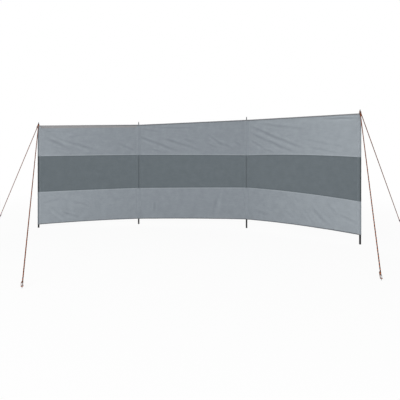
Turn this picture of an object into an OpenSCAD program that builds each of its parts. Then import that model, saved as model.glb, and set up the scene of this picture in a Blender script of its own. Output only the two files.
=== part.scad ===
// Three-bay beach windbreak, from ground level up, in millimetres.
// Four poles in a gentle arc carry a cloth of three horizontal bands in sleeves,
// and four taut guy lines stay the two end poles to pegs.
// The ground is z = 0, x runs along the front from left to right, y runs to the back,
// and the origin is the centre of the second pole's foot.

/* [Layout] */
// Length of each bay from pole axis to pole axis, from the left
bay_lengths = [1395, 1595, 1495]; // [900:5:2400]
// Direction of each bay in plan, in degrees from the x axis, from the left
bay_directions = [11, -10.5, -37.5]; // [-60:0.5:60]

/* [Cloth] */
// Height of the cloth from its lower edge to its top edge
cloth_h = 1400; // [1200:5:1800]
// Height of the cloth's lower edge above the ground at each pole, from the left
ground_gap = [45, 78, 121, 107]; // [20:1:200]
// Height of the lower seam above the cloth's lower edge at each pole
lower_seam = [460, 459, 448, 388]; // [200:1:560]
// Height of the upper seam above the cloth's lower edge at each pole
upper_seam = [965, 951, 903, 897]; // [700:1:1100]
// Thickness of the cloth in its solids
cloth_t = 2; // [1:0.1:4]
// Height of the folded hem along the top edge
top_hem_h = 16; // [10:1:50]
// Height of the folded hem along the lower edge
bottom_hem_h = 12; // [8:1:50]
// Thickness of the folded hems
hem_t = 4; // [2:0.1:8]
// Height by which the lower edge is cut hollow in the middle of each bay
hollow_rise = [8, 6, 16]; // [2:1:40]
// Height by which the two seams bow up in the middle of each bay
seam_rise = [1, 2, 15]; // [1:1:40]

/* [Pole sleeves] */
// Distance from the pole axis to the seam of its sleeve
sleeve_reach = 32; // [20:1:60]
// Thickness of the sleeve wall round the pole
sleeve_wall = 1.5; // [1:0.1:4]
// Thickness of the folded cloth that closes the top of a sleeve
sleeve_cap = 4; // [2:0.5:10]
// Clearance of the sleeves and the loops round what they hold
fit_gap = 0.3; // [0.1:0.05:0.8]

/* [Poles] */
// Outside diameter of the pole tube
pole_d = 22; // [16:0.5:28]
// Wall of the pole tube
pole_wall = 1.2; // [0.8:0.1:2]
// Length of the solid spike end above the ground
spike_h = 30; // [10:1:100]

/* [Pole pins] */
// Diameter of the pin where the guy lines loop round it
pin_d = 12; // [8:0.5:14]
// Diameter of the pin's neck in the eyelet
pin_neck_d = 13; // [9:0.5:15]
// Diameter of the pin at its tip
pin_tip_d = 8; // [4:0.5:9]
// Height of the pin above the cloth's top edge
pin_h = 44; // [36:1:70]
// Height above the cloth's top edge at which the pin begins to taper
pin_straight = 26; // [20:1:32]
// Thickness of the shoulder that seats on the tube
shoulder_h = 3; // [2:0.5:8]
// Length of the plug inside the tube
plug_l = 30; // [15:1:60]
// Clearance of the plug in the tube
plug_gap = 0.1; // [0.05:0.05:0.3]

/* [Eyelets] */
// Outside diameter of the eyelet that the pin passes through
eyelet_d = 20; // [17:0.5:22]
// Height of the eyelet above the cloth's top edge
eyelet_h = 2; // [1:0.5:4]
// Chamfer round the eyelet's top
eyelet_chamfer = 0.6; // [0.2:0.1:0.9]

/* [Guy lines] */
// Diameter of the guy lines
guy_d = 10; // [4:0.5:14]
// Thickness of the spliced loops at both ends of a guy line
guy_loop_d = 10; // [8:0.5:16]
// Place of the left front peg on the ground
left_front_peg = [-460, -2540]; // [-5000:5:5000]
// Place of the left back peg on the ground
left_back_peg = [-2375, 540]; // [-5000:5:5000]
// Place of the right front peg on the ground
right_front_peg = [2400, -2370]; // [-5000:5:5000]
// Place of the right back peg on the ground
right_back_peg = [3960, 125]; // [-5000:5:5000]

/* [Pegs] */
// Diameter of the peg wire
peg_d = 7; // [5:0.5:10]
// Height of the peg's straight shank above the ground
peg_h = 34; // [28:1:60]
// Radius of the bend of the peg's hook, at the middle of the wire
peg_bend_r = 9; // [9:0.5:16]
// Length of the hook's turned-down end
peg_hook_l = 10; // [5:1:20]
// Height of the guy line's loop on the peg
peg_loop_z = 16; // [10:1:20]

/* [Hidden] */
$fn = 48;
BOW_STEPS = 16;
TIP_STEPS = 6;
WALL_STEP = 6;
POLES = 4;
BAYS = 3;
BANDS = ["lower", "middle", "upper"];
GUYS = ["left_front", "left_back", "right_front", "right_back"];

CLOTH_GREY = "#90979d";
BAND_GREY = "#676f75";
HEM_GREY = "#84827f";
BLACK_COAT = "#232426";
DULL_STEEL = "#a9abae";
ORANGE_CORD = "#a5603a";

function heading(angle) = [cos(angle), sin(angle)];

// Plan positions of the poles, built out from the second pole at the origin
third_pole = bay_lengths[1] * heading(bay_directions[1]);
pole_xy = [
    -bay_lengths[0] * heading(bay_directions[0]),
    [0, 0],
    third_pole,
    third_pole + bay_lengths[2] * heading(bay_directions[2]),
];

// Heights above the ground at each pole of the lines that run along the cloth
low_edge = ground_gap;
low_hem = [for (z = ground_gap) z + bottom_hem_h];
low_line = ground_gap + lower_seam;
high_line = ground_gap + upper_seam;
top_hem = [for (z = ground_gap) z + cloth_h - top_hem_h];
top_edge = [for (z = ground_gap) z + cloth_h];
tube_top = [for (z = top_edge) z - sleeve_cap - shoulder_h];

sleeve_bore_r = pole_d / 2 + fit_gap;
sleeve_r = sleeve_bore_r + sleeve_wall;
pin_loop_r = pin_d / 2 + fit_gap + guy_loop_d / 2;
peg_loop_r = peg_d / 2 + fit_gap + guy_loop_d / 2;
tube_bore_d = pole_d - 2 * pole_wall;

// The pole that each guy line stays, and the peg that it runs to
guy_pole = [0, 0, 3, 3];
peg_xy = [left_front_peg, left_back_peg, right_front_peg, right_back_peg];
guy_run = [for (g = [0 : 3]) peg_xy[g] - pole_xy[guy_pole[g]]];
guy_heading = [for (v = guy_run) atan2(v.y, v.x)];
guy_slope = [for (g = [0 : 3]) atan2(top_edge[guy_pole[g]] + pin_h, norm(guy_run[g]))];

// Of the two guy lines on a pole, the steeper one loops round the pin below the other
function is_below(g) = guy_slope[g] > guy_slope[partner(g)];
function partner(g) = g % 2 == 0 ? g + 1 : g - 1;

// Height of a guy line's loop above the cloth's top edge: the lower line clears the eyelet's rim,
// and the upper line clears the loop below it
function low_loop_z(g) =
    eyelet_h + fit_gap + guy_d / 2 / cos(guy_slope[g])
    + max(0, eyelet_d / 2 - pin_loop_r) * tan(guy_slope[g]);
function loop_z(g) =
    is_below(g) ? low_loop_z(g)
    : low_loop_z(partner(g)) + ((guy_d + guy_loop_d) / 2 + fit_gap) / cos(guy_slope[g]);

// Points along one bay of a line that joins given heights at its two poles,
// bowed up by rise in the middle
function bay_line(bay, heights, rise = 0) =
    let (steps = rise == 0 ? 1 : BOW_STEPS)
    [for (k = [0 : steps])
        let (t = k / steps, run = bay_lengths[bay] - 2 * sleeve_reach)
        [
            sleeve_reach + run * t,
            heights[bay] + (heights[bay + 1] - heights[bay]) * t + rise * 4 * t * (1 - t),
        ]];
function reversed(points) = [for (k = [len(points) - 1 : -1 : 0]) points[k]];

// Directions in which the cloth leaves a pole, counterclockwise
function sleeve_sides(i) =
    i == 0 ? [bay_directions[0]]
    : i == POLES - 1 ? [bay_directions[BAYS - 1] + 180]
    : [bay_directions[i], bay_directions[i - 1] + 180];

// Angle from a sleeve's side to the point where its flat cloth touches the round wall
sleeve_touch = atan2(cloth_t / 2, sleeve_reach) + acos(sleeve_r / norm([sleeve_reach, cloth_t / 2]));

// Outline of a sleeve in plan: on each side the two flat layers run from the seam to the round wall,
// and an arc of the wall joins them to the next side
function sleeve_outline(sides) =
    [for (k = [0 : len(sides) - 1])
        let (next = k + 1 < len(sides) ? sides[k + 1] : sides[0] + 360)
        each concat(
            [for (y = [-cloth_t / 2, cloth_t / 2]) sleeve_reach * heading(sides[k]) + y * heading(sides[k] + 90)],
            round_wall(sides[k] + sleeve_touch, next - sleeve_touch)
        )];
function round_wall(from, to) =
    let (steps = ceil((to - from) / WALL_STEP))
    [for (k = [0 : steps]) sleeve_r * heading(from + (to - from) * k / steps)];

// Sets children up at a pole, at a height above the ground
module at_pole(i, z = 0) {
    translate([pole_xy[i].x, pole_xy[i].y, z]) children();
}

// A strip of cloth between two lines of one bay, standing in the bay's plane
module cloth_strip(bay, low, high, thickness) {
    at_pole(bay) rotate(bay_directions[bay]) rotate([90, 0, 0])
        linear_extrude(thickness, center = true) polygon(concat(low, reversed(high)));
}

// A round bar between two points
module rod(from, to, d) {
    v = to - from;
    translate(from) rotate([0, acos(v.z / norm(v)), atan2(v.y, v.x)]) cylinder(d = d, h = norm(v));
}

// A horizontal ring of round section
module ring(r, d) {
    rotate_extrude() translate([r, 0]) circle(d = d);
}

// Pole tube, solid where its ground spike begins
module pole(i) {
    color(BLACK_COAT) at_pole(i) difference() {
        cylinder(d = pole_d, h = tube_top[i]);
        translate([0, 0, spike_h]) cylinder(d = tube_bore_d, h = tube_top[i]);
    }
}

// Turned pin: a plug in the tube, a shoulder on its rim, a neck in the eyelet
// and a tapered pin with a round tip
module pole_pin(i) {
    pin_base = shoulder_h + sleeve_cap;
    plug_r = tube_bore_d / 2 - plug_gap;
    tip_r = pin_tip_d / 2;
    tip_arc = [for (k = [0 : TIP_STEPS]) let (a = 90 * k / TIP_STEPS)
        [k == TIP_STEPS ? 0 : tip_r * cos(a), pin_base + pin_h - tip_r + tip_r * sin(a)]];
    profile = concat(
        [
            [0, -plug_l],
            [plug_r, -plug_l],
            [plug_r, 0],
            [pole_d / 2, 0],
            [pole_d / 2, shoulder_h],
            [pin_neck_d / 2, shoulder_h],
            [pin_neck_d / 2, pin_base + eyelet_h],
            [pin_d / 2, pin_base + eyelet_h],
            [pin_d / 2, pin_base + pin_straight],
        ],
        tip_arc
    );
    color(BLACK_COAT) at_pole(i, tube_top[i]) rotate_extrude() polygon(profile);
}

// Metal eyelet on the closed top of a sleeve
module eyelet(i) {
    inner_r = pin_neck_d / 2 + fit_gap;
    outer_r = eyelet_d / 2;
    color(DULL_STEEL) at_pole(i, top_edge[i]) rotate_extrude() polygon([
        [inner_r, 0],
        [outer_r, 0],
        [outer_r, eyelet_h - eyelet_chamfer],
        [outer_r - eyelet_chamfer, eyelet_h],
        [inner_r + eyelet_chamfer, eyelet_h],
        [inner_r, eyelet_h - eyelet_chamfer],
    ]);
}

// Cloth sleeve over a pole, closed at the top round the pin
module pole_sleeve(i) {
    color(CLOTH_GREY) at_pole(i, ground_gap[i]) difference() {
        linear_extrude(cloth_h) polygon(sleeve_outline(sleeve_sides(i)));
        translate([0, 0, -sleeve_cap]) cylinder(r = sleeve_bore_r, h = cloth_h);
        cylinder(d = pin_neck_d + 2 * fit_gap, h = cloth_h + sleeve_cap);
    }
}

// Light lower band, cut hollow along its hem
module lower_band(bay) {
    color(CLOTH_GREY)
        cloth_strip(
            bay, bay_line(bay, low_hem, hollow_rise[bay]), bay_line(bay, low_line, seam_rise[bay]), cloth_t
        );
}

// Dark middle band between the two seams
module middle_band(bay) {
    color(BAND_GREY)
        cloth_strip(
            bay, bay_line(bay, low_line, seam_rise[bay]), bay_line(bay, high_line, seam_rise[bay]), cloth_t
        );
}

// Light upper band up to the top hem
module upper_band(bay) {
    color(CLOTH_GREY)
        cloth_strip(bay, bay_line(bay, high_line, seam_rise[bay]), bay_line(bay, top_hem), cloth_t);
}

// Folded hem along the top edge
module top_hem_strip(bay) {
    color(HEM_GREY)
        cloth_strip(bay, bay_line(bay, top_hem), bay_line(bay, top_edge), hem_t);
}

// Folded hem along the hollow lower edge
module bottom_hem_strip(bay) {
    color(HEM_GREY)
        cloth_strip(
            bay, bay_line(bay, low_edge, hollow_rise[bay]), bay_line(bay, low_hem, hollow_rise[bay]), hem_t
        );
}

// Taut guy line with a spliced loop round the pin and another round the peg
module guy_line(g) {
    i = guy_pole[g];
    away = heading(guy_heading[g]);
    high = pole_xy[i] + away * pin_loop_r;
    low = peg_xy[g] - away * peg_loop_r;
    high_z = top_edge[i] + loop_z(g);
    color(ORANGE_CORD) {
        at_pole(i, high_z) ring(pin_loop_r, guy_loop_d);
        rod([high.x, high.y, high_z], [low.x, low.y, peg_loop_z], guy_d);
        translate([peg_xy[g].x, peg_xy[g].y, peg_loop_z]) ring(peg_loop_r, guy_loop_d);
    }
}

// Wire peg with its hook turned away from the pole
module peg(g) {
    color(DULL_STEEL) translate(peg_xy[g]) rotate(guy_heading[g]) {
        cylinder(d = peg_d, h = peg_h);
        translate([peg_bend_r, 0, peg_h]) rotate([90, 0, 0])
            rotate_extrude(angle = 180) translate([peg_bend_r, 0]) circle(d = peg_d);
        translate([2 * peg_bend_r, 0, peg_h - peg_hook_l]) cylinder(d = peg_d, h = peg_hook_l);
    }
}

for (i = [0 : POLES - 1]) {
    pole(i);
    pole_pin(i);
    eyelet(i);
    pole_sleeve(i);
}
for (bay = [0 : BAYS - 1]) {
    lower_band(bay);
    middle_band(bay);
    upper_band(bay);
    top_hem_strip(bay);
    bottom_hem_strip(bay);
}
for (g = [0 : len(GUYS) - 1]) {
    guy_line(g);
    peg(g);
}
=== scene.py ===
"""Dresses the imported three-bay beach windbreak.

The cloth bands, hems, pole sleeves, stitching and guy lines are new surfaces that stand for their
plain solids. Poles, pins, eyelets and pegs keep their solids and get their own finishes.
Everything is in metres, with the ground at z = 0 and the front of the windbreak towards -Y.
"""

import logging
import math
from dataclasses import dataclass, field
from enum import Enum
from typing import Sequence

import bpy
import numpy as np
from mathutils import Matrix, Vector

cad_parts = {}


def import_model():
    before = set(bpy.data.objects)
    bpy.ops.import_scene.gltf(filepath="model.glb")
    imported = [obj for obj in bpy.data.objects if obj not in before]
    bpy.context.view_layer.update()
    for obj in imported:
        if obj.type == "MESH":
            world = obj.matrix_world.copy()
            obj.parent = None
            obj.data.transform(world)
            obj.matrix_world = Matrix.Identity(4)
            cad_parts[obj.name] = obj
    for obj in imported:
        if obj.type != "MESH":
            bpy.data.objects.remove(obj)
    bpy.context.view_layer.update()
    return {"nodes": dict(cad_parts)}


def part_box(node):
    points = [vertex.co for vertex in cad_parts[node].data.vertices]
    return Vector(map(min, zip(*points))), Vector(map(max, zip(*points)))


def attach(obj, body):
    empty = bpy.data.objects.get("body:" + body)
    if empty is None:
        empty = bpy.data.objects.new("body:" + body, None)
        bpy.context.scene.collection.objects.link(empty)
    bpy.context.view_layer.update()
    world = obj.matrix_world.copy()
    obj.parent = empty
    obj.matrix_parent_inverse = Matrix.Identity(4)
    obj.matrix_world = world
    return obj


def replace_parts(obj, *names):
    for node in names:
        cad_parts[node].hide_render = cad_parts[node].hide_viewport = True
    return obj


LOG = logging.getLogger("windbreak")
Array = np.ndarray
ROOT = "root"
WEAVE_MAP = "weave"
# Per-corner mark of painted light and shade, on the hems partly the tape's fading
LIGHT_AND_SHADE_MARK = "crease"
# Per-corner mark of the darker cloth over a pole: partly the pole showing through, partly painted shade
POLE_SHOW_AND_SHADE_MARK = "tight"
TRACER_MARK = "tracer"
UP = np.array([0.0, 0.0, 1.0])
# Edges that turn by more than this are shaded sharp
SHARP_ANGLE = math.radians(50)

Links = dict[str | int, bpy.types.NodeSocket]
Values = dict[str | int, object]


def linear(hex_colour: str) -> tuple[float, float, float, float]:
    """Turns an sRGB hex value into linear light.

    Args:
        hex_colour: A hash sign and six hex digits.

    Returns:
        Linear red, green and blue, and an alpha of one.
    """
    shares = [int(hex_colour[i:i + 2], 16) / 255 for i in (1, 3, 5)]
    red, green, blue = [c / 12.92 if c <= 0.04045 else ((c + 0.055) / 1.055) ** 2.4 for c in shares]
    return red, green, blue, 1.0


def plug(
    tree: bpy.types.NodeTree, node: bpy.types.Node, links: Links | None = None, values: Values | None = None
) -> None:
    """Sets a node's fixed inputs and links what feeds its other inputs.

    Args:
        tree: The node's tree.
        node: The node.
        links: Input socket to the output socket that feeds it.
        values: Input socket to its fixed value.
    """
    for socket, value in (values or {}).items():
        node.inputs[socket].default_value = value
    for socket, source in (links or {}).items():
        tree.links.new(source, node.inputs[socket])


def add_node(
    tree: bpy.types.NodeTree,
    kind: str,
    links: Links | None = None,
    values: Values | None = None,
    **settings: object,
) -> bpy.types.Node:
    """Adds one shader node with its settings, socket values and incoming links.

    Args:
        tree: The material's or world's node tree.
        kind: Blender's type name of the node.
        links: Input socket to the output socket that feeds it.
        values: Input socket to its fixed value.
        **settings: Attributes of the node itself.

    Returns:
        The new node.
    """
    node = tree.nodes.new(kind)
    for name, value in settings.items():
        setattr(node, name, value)
    plug(tree, node, links, values)
    return node


def seen_rays(tree: bpy.types.NodeTree) -> bpy.types.NodeSocket:
    """Tells rays that see a surface, which are camera, mirror and glass rays, from those that light it.

    Args:
        tree: The material's or world's node tree.

    Returns:
        A socket that is 1 for rays that see and 0 for the others.
    """
    rays = add_node(tree, "ShaderNodeLightPath").outputs
    seen = rays["Is Camera Ray"]
    for kind in ("Is Glossy Ray", "Is Transmission Ray"):
        seen = add_node(tree, "ShaderNodeMath", {0: seen, 1: rays[kind]}, operation="MAXIMUM").outputs[0]
    return seen


def band_scale(period: float) -> float:
    """Gives the Wave texture's scale for stripes of a period in metres: pi over ten periods."""
    return math.pi / (10 * period)


def smooth_step(low: float, high: float, x: Array) -> Array:
    """Rises from 0 at low to 1 at high as 3t^2 - 2t^3, where t is the clipped share of the way.

    Args:
        low: Where the step starts.
        high: Where the step ends, which may lie below low for a falling step.
        x: Places to evaluate.

    Returns:
        The step's values, with x's shape.
    """
    t = np.clip((x - low) / (high - low), 0, 1)
    return t * t * (3 - 2 * t)


@dataclass(frozen=True)
class Finish:
    """A surface finish that makes its node material once and hands it out by name."""

    name: str

    def material(self) -> bpy.types.Material:
        """Returns the finish's material, made at its first use."""
        made = bpy.data.materials.get(self.name)
        if made is None:
            made = bpy.data.materials.new(self.name)
            made.use_nodes = True
            self.shade(made.node_tree, made.node_tree.nodes["Principled BSDF"])
        return made

    def shade(self, tree: bpy.types.NodeTree, shader: bpy.types.Node) -> None:
        """Adds the finish's nodes.

        Args:
            tree: The new material's tree.
            shader: Its Principled shader.
        """
        raise NotImplementedError


@dataclass(frozen=True)
class WovenCloth(Finish):
    """Plain-weave polyester with a thin proofing on its back.

    The eye sees a matt, slightly cloudy cloth with a fine grid of threads. Its marks paint highlights on
    fold ridges and seam laps, shade in fold troughs and along seams, and each bay's light and shade.
    Over a black pole it is drawn darker, partly the pole showing through and partly painted shade.
    """

    colour: str = "#888f96"
    dull: str = "#686f76"
    pale: str = "#b0b8be"
    # Colour over a pole: partly the black pole showing through, partly painted shade
    over_pole: str = "#6f767c"
    # Real threads are 0.3 mm apart, so they are drawn ten times as coarse to show at all
    thread: float = 0.003
    # Proofing dries in clouds about 90 mm wide
    cloud: float = 0.09
    # Real slubs are about 1 mm thick, drawn coarser to show
    slub: float = 0.012
    # A slub's thickness as a share of its length along the weft
    slub_slimness: float = 0.12
    # Place on the ramp from dull to pale before the next three are added, which bring it past the middle
    base_tone: float = 0.195
    # How much of that ramp the clouds and slubs, a full mark of painted light and shade and the threads
    # take
    mottle_share: float = 0.22
    light_and_shade_share: float = 0.25
    thread_share: float = 0.09

    def shade(self, tree: bpy.types.NodeTree, shader: bpy.types.Node) -> None:
        """Weaves threads from two crossed sets of stripes and clouds the colour with soft noise.

        Args:
            tree: The new material's tree.
            shader: Its Principled shader.
        """
        along = add_node(tree, "ShaderNodeUVMap", uv_map=WEAVE_MAP).outputs["UV"]
        stripes = {"Scale": band_scale(self.thread), "Distortion": 0.6, "Detail": 1.0}
        warp, weft = [
            add_node(tree, "ShaderNodeTexWave", {"Vector": along}, stripes, bands_direction=way)
            for way in "XY"
        ]
        grid = add_node(
            tree, "ShaderNodeMath", {0: warp.outputs["Fac"], 1: weft.outputs["Fac"]}, operation="ADD"
        )
        clouds = add_node(
            tree, "ShaderNodeTexNoise", {"Vector": along},
            {"Scale": 1 / self.cloud, "Detail": 5.0, "Roughness": 0.6},
        )
        drawn_out = add_node(
            tree, "ShaderNodeMapping", {"Vector": along},
            {"Scale": (self.slub_slimness / self.slub, 1 / self.slub, 1.0)},
        )
        slubs = add_node(
            tree, "ShaderNodeTexNoise", {"Vector": drawn_out.outputs["Vector"]},
            {"Scale": 1.0, "Detail": 6.0, "Roughness": 0.7},
        )
        mottle = add_node(
            tree, "ShaderNodeMath", {0: clouds.outputs["Fac"], 2: slubs.outputs["Fac"]}, {1: 1.2},
            operation="MULTIPLY_ADD",
        )
        # Painted highlights and shade of folds, seams and bays, from the corners' mark
        crease = add_node(tree, "ShaderNodeAttribute", attribute_name=LIGHT_AND_SHADE_MARK).outputs["Fac"]
        tone = add_node(
            tree, "ShaderNodeMath", {0: mottle.outputs[0]}, {1: self.mottle_share, 2: self.base_tone},
            operation="MULTIPLY_ADD",
        )
        marked = add_node(
            tree, "ShaderNodeMath", {0: crease, 2: tone.outputs[0]}, {1: self.light_and_shade_share},
            operation="MULTIPLY_ADD",
        )
        woven = add_node(
            tree, "ShaderNodeMath", {0: grid.outputs[0], 2: marked.outputs[0]}, {1: self.thread_share},
            operation="MULTIPLY_ADD",
        )
        ramp = add_node(tree, "ShaderNodeValToRGB", {"Fac": woven.outputs[0]})
        ramp.color_ramp.elements[0].color = linear(self.dull)
        ramp.color_ramp.elements[1].color = linear(self.pale)
        ramp.color_ramp.elements.new(0.5).color = linear(self.colour)
        crumple = add_node(
            tree, "ShaderNodeBump", {"Height": clouds.outputs["Fac"]}, {"Strength": 0.2, "Distance": 0.004}
        )
        weave = add_node(
            tree, "ShaderNodeBump",
            {"Height": grid.outputs[0], "Normal": crumple.outputs["Normal"]},
            {"Strength": 0.5, "Distance": 0.0008},
        )
        rough = add_node(
            tree, "ShaderNodeMapRange", {"Value": slubs.outputs["Fac"]}, {"To Min": 0.66, "To Max": 0.84}
        )
        # Darker cloth over a pole: partly the pole showing through, partly painted shade
        tight = add_node(tree, "ShaderNodeAttribute", attribute_name=POLE_SHOW_AND_SHADE_MARK).outputs["Fac"]
        cloth = add_node(
            tree, "ShaderNodeMix", {0: tight, 6: ramp.outputs["Color"]}, {7: linear(self.over_pole)},
            data_type="RGBA",
        )
        plug(
            tree, shader,
            {
                "Base Color": cloth.outputs[2], "Roughness": rough.outputs["Result"],
                "Normal": weave.outputs["Normal"],
            },
            {"IOR": 1.45, "Sheen Weight": 0.08, "Sheen Roughness": 0.5},
        )


@dataclass(frozen=True)
class TwillTape(Finish):
    """Woven polyester binding tape: matt, with diagonal ribs, and paler and greyer by its mark, partly its
    own fading and partly painted light.
    """

    colour: str = "#70757a"
    groove: str = "#63686c"
    # Pale end of the tape's fading and painted light
    fade_and_light_colour: str = "#969596"
    # Real ribs are about 0.8 mm apart, drawn coarser to show
    rib: float = 0.004
    # Tape fades in patches about 50 mm long
    patch: float = 0.05

    def shade(self, tree: bpy.types.NodeTree, shader: bpy.types.Node) -> None:
        """Draws ribs as diagonal stripes, with a patchy fade over them.

        Args:
            tree: The new material's tree.
            shader: Its Principled shader.
        """
        along = add_node(tree, "ShaderNodeUVMap", uv_map=WEAVE_MAP).outputs["UV"]
        ribs = add_node(
            tree, "ShaderNodeTexWave", {"Vector": along},
            {"Scale": band_scale(self.rib), "Distortion": 0.4}, bands_direction="DIAGONAL",
        )
        fade = add_node(
            tree, "ShaderNodeTexNoise", {"Vector": along}, {"Scale": 1 / self.patch, "Detail": 4.0}
        )
        share = add_node(
            tree, "ShaderNodeMath", {0: ribs.outputs["Fac"], 1: fade.outputs["Fac"]}, operation="MULTIPLY"
        )
        mix = add_node(
            tree, "ShaderNodeMix", {0: share.outputs[0]},
            {6: linear(self.groove), 7: linear(self.colour)}, data_type="RGBA",
        )
        # Paler, greyer tape: partly its own fading, partly painted light along the bay
        fade_and_light = add_node(tree, "ShaderNodeAttribute", attribute_name=LIGHT_AND_SHADE_MARK).outputs["Fac"]
        tape = add_node(
            tree, "ShaderNodeMix", {0: fade_and_light, 6: mix.outputs[2]}, {7: linear(self.fade_and_light_colour)}, data_type="RGBA"
        )
        bump = add_node(
            tree, "ShaderNodeBump", {"Height": ribs.outputs["Fac"]}, {"Strength": 0.4, "Distance": 0.0006}
        )
        rough = add_node(
            tree, "ShaderNodeMapRange", {"Value": fade.outputs["Fac"]}, {"To Min": 0.7, "To Max": 0.9}
        )
        plug(
            tree, shader,
            {
                "Base Color": tape.outputs[2], "Roughness": rough.outputs["Result"],
                "Normal": bump.outputs["Normal"],
            },
            {"IOR": 1.45},
        )


@dataclass(frozen=True)
class Thread(Finish):
    """Twisted thread, bonded for sewing or waxed for whipping: short light and dark flecks of twist."""

    light: str = "#9aa0a5"
    dark: str = "#7a8086"
    gloss: float = 0.5
    # The twist's flecks are 0.5 mm in truth and are drawn at 2 mm
    fleck: float = 0.002

    def shade(self, tree: bpy.types.NodeTree, shader: bpy.types.Node) -> None:
        """Mixes two shades by fine noise.

        Args:
            tree: The new material's tree.
            shader: Its Principled shader.
        """
        place = add_node(tree, "ShaderNodeTexCoord").outputs["Object"]
        flecks = add_node(
            tree, "ShaderNodeTexNoise", {"Vector": place}, {"Scale": 1 / self.fleck, "Detail": 2.0}
        )
        mix = add_node(
            tree, "ShaderNodeMix", {0: flecks.outputs["Fac"]},
            {6: linear(self.dark), 7: linear(self.light)}, data_type="RGBA",
        )
        bump = add_node(
            tree, "ShaderNodeBump", {"Height": flecks.outputs["Fac"]}, {"Strength": 0.2, "Distance": 0.0002}
        )
        plug(
            tree, shader, {"Base Color": mix.outputs[2], "Normal": bump.outputs["Normal"]},
            {"Roughness": 0.55, "Specular IOR Level": self.gloss},
        )


@dataclass(frozen=True)
class PowderCoat(Finish):
    """Baked black powder coat on steel tube: fine orange peel, and a dusty scuff towards the ground."""

    colour: str = "#141517"
    dust: str = "#3a3834"
    # Peel cells are about 1 mm in truth and are drawn at 3 mm
    peel: float = 0.003
    # Dust clings in patches about 6 mm wide, up to 55 mm above the ground
    grit: float = 0.00625
    scuff_top: float = 0.055

    def shade(self, tree: bpy.types.NodeTree, shader: bpy.types.Node) -> None:
        """Breaks the colour with dust that thins out upwards from the ground.

        Args:
            tree: The new material's tree.
            shader: Its Principled shader.
        """
        place = add_node(tree, "ShaderNodeTexCoord").outputs["Object"]
        peel, grit = [
            add_node(tree, "ShaderNodeTexNoise", {"Vector": place}, {"Scale": 1 / size, "Detail": detail})
            for size, detail in ((self.peel, 2.0), (self.grit, 6.0))
        ]
        height = add_node(tree, "ShaderNodeSeparateXYZ", {"Vector": place}).outputs["Z"]
        low = add_node(
            tree, "ShaderNodeMapRange", {"Value": height},
            {"From Min": 0.0, "From Max": self.scuff_top, "To Min": 0.5, "To Max": 0.0},
        )
        share = add_node(
            tree, "ShaderNodeMath", {0: low.outputs["Result"], 1: grit.outputs["Fac"]}, operation="MULTIPLY"
        )
        mix = add_node(
            tree, "ShaderNodeMix", {0: share.outputs[0]},
            {6: linear(self.colour), 7: linear(self.dust)}, data_type="RGBA",
        )
        rough = add_node(
            tree, "ShaderNodeMapRange", {"Value": grit.outputs["Fac"]}, {"To Min": 0.5, "To Max": 0.7}
        )
        bump = add_node(
            tree, "ShaderNodeBump", {"Height": peel.outputs["Fac"]}, {"Strength": 0.15, "Distance": 0.0004}
        )
        plug(
            tree, shader,
            {
                "Base Color": mix.outputs[2], "Roughness": rough.outputs["Result"],
                "Normal": bump.outputs["Normal"],
            },
            {"Specular IOR Level": 0.25},
        )


@dataclass(frozen=True)
class MouldedPlastic(Finish):
    """Moulded black polyamide: a spark-eroded grain that scatters a soft highlight."""

    colour: str = "#17181a"
    worn: str = "#2e2f31"
    # Real pits are under 0.1 mm wide, drawn coarser to show
    grain: float = 0.0012

    def shade(self, tree: bpy.types.NodeTree, shader: bpy.types.Node) -> None:
        """Greys the grain's high spots, as where a loop rubs.

        Args:
            tree: The new material's tree.
            shader: Its Principled shader.
        """
        place = add_node(tree, "ShaderNodeTexCoord").outputs["Object"]
        grain = add_node(
            tree, "ShaderNodeTexNoise", {"Vector": place}, {"Scale": 1 / self.grain, "Detail": 3.0}
        )
        rubbed = add_node(
            tree, "ShaderNodeMapRange", {"Value": grain.outputs["Fac"]}, {"From Min": 0.45, "From Max": 0.9}
        )
        mix = add_node(
            tree, "ShaderNodeMix", {0: rubbed.outputs["Result"]},
            {6: linear(self.colour), 7: linear(self.worn)}, data_type="RGBA",
        )
        bump = add_node(
            tree, "ShaderNodeBump", {"Height": grain.outputs["Fac"]}, {"Strength": 0.2, "Distance": 0.0003}
        )
        plug(
            tree, shader, {"Base Color": mix.outputs[2], "Normal": bump.outputs["Normal"]},
            {"Roughness": 0.5, "IOR": 1.53, "Specular IOR Level": 0.25},
        )


@dataclass(frozen=True)
class PlatedMetal(Finish):
    """Zinc-plated or nickel-plated steel: bright grey metal with a cloudy bloom of changing gloss."""

    colour: str = "#b9bcbf"
    bloom: str = "#94979a"
    roughness: float = 0.36
    # Plating blooms in patches about 6 mm wide
    spangle: float = 0.006

    def shade(self, tree: bpy.types.NodeTree, shader: bpy.types.Node) -> None:
        """Clouds the metal's colour and gloss together.

        Args:
            tree: The new material's tree.
            shader: Its Principled shader.
        """
        place = add_node(tree, "ShaderNodeTexCoord").outputs["Object"]
        cloud = add_node(
            tree, "ShaderNodeTexNoise", {"Vector": place}, {"Scale": 1 / self.spangle, "Detail": 5.0}
        )
        mix = add_node(
            tree, "ShaderNodeMix", {0: cloud.outputs["Fac"]},
            {6: linear(self.colour), 7: linear(self.bloom)}, data_type="RGBA",
        )
        rough = add_node(
            tree, "ShaderNodeMapRange", {"Value": cloud.outputs["Fac"]},
            {"To Min": self.roughness - 0.1, "To Max": self.roughness + 0.16},
        )
        bump = add_node(
            tree, "ShaderNodeBump", {"Height": cloud.outputs["Fac"]}, {"Strength": 0.12, "Distance": 0.0003}
        )
        plug(
            tree, shader,
            {
                "Base Color": mix.outputs[2], "Roughness": rough.outputs["Result"],
                "Normal": bump.outputs["Normal"],
            },
            {"Metallic": 1.0},
        )


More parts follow.
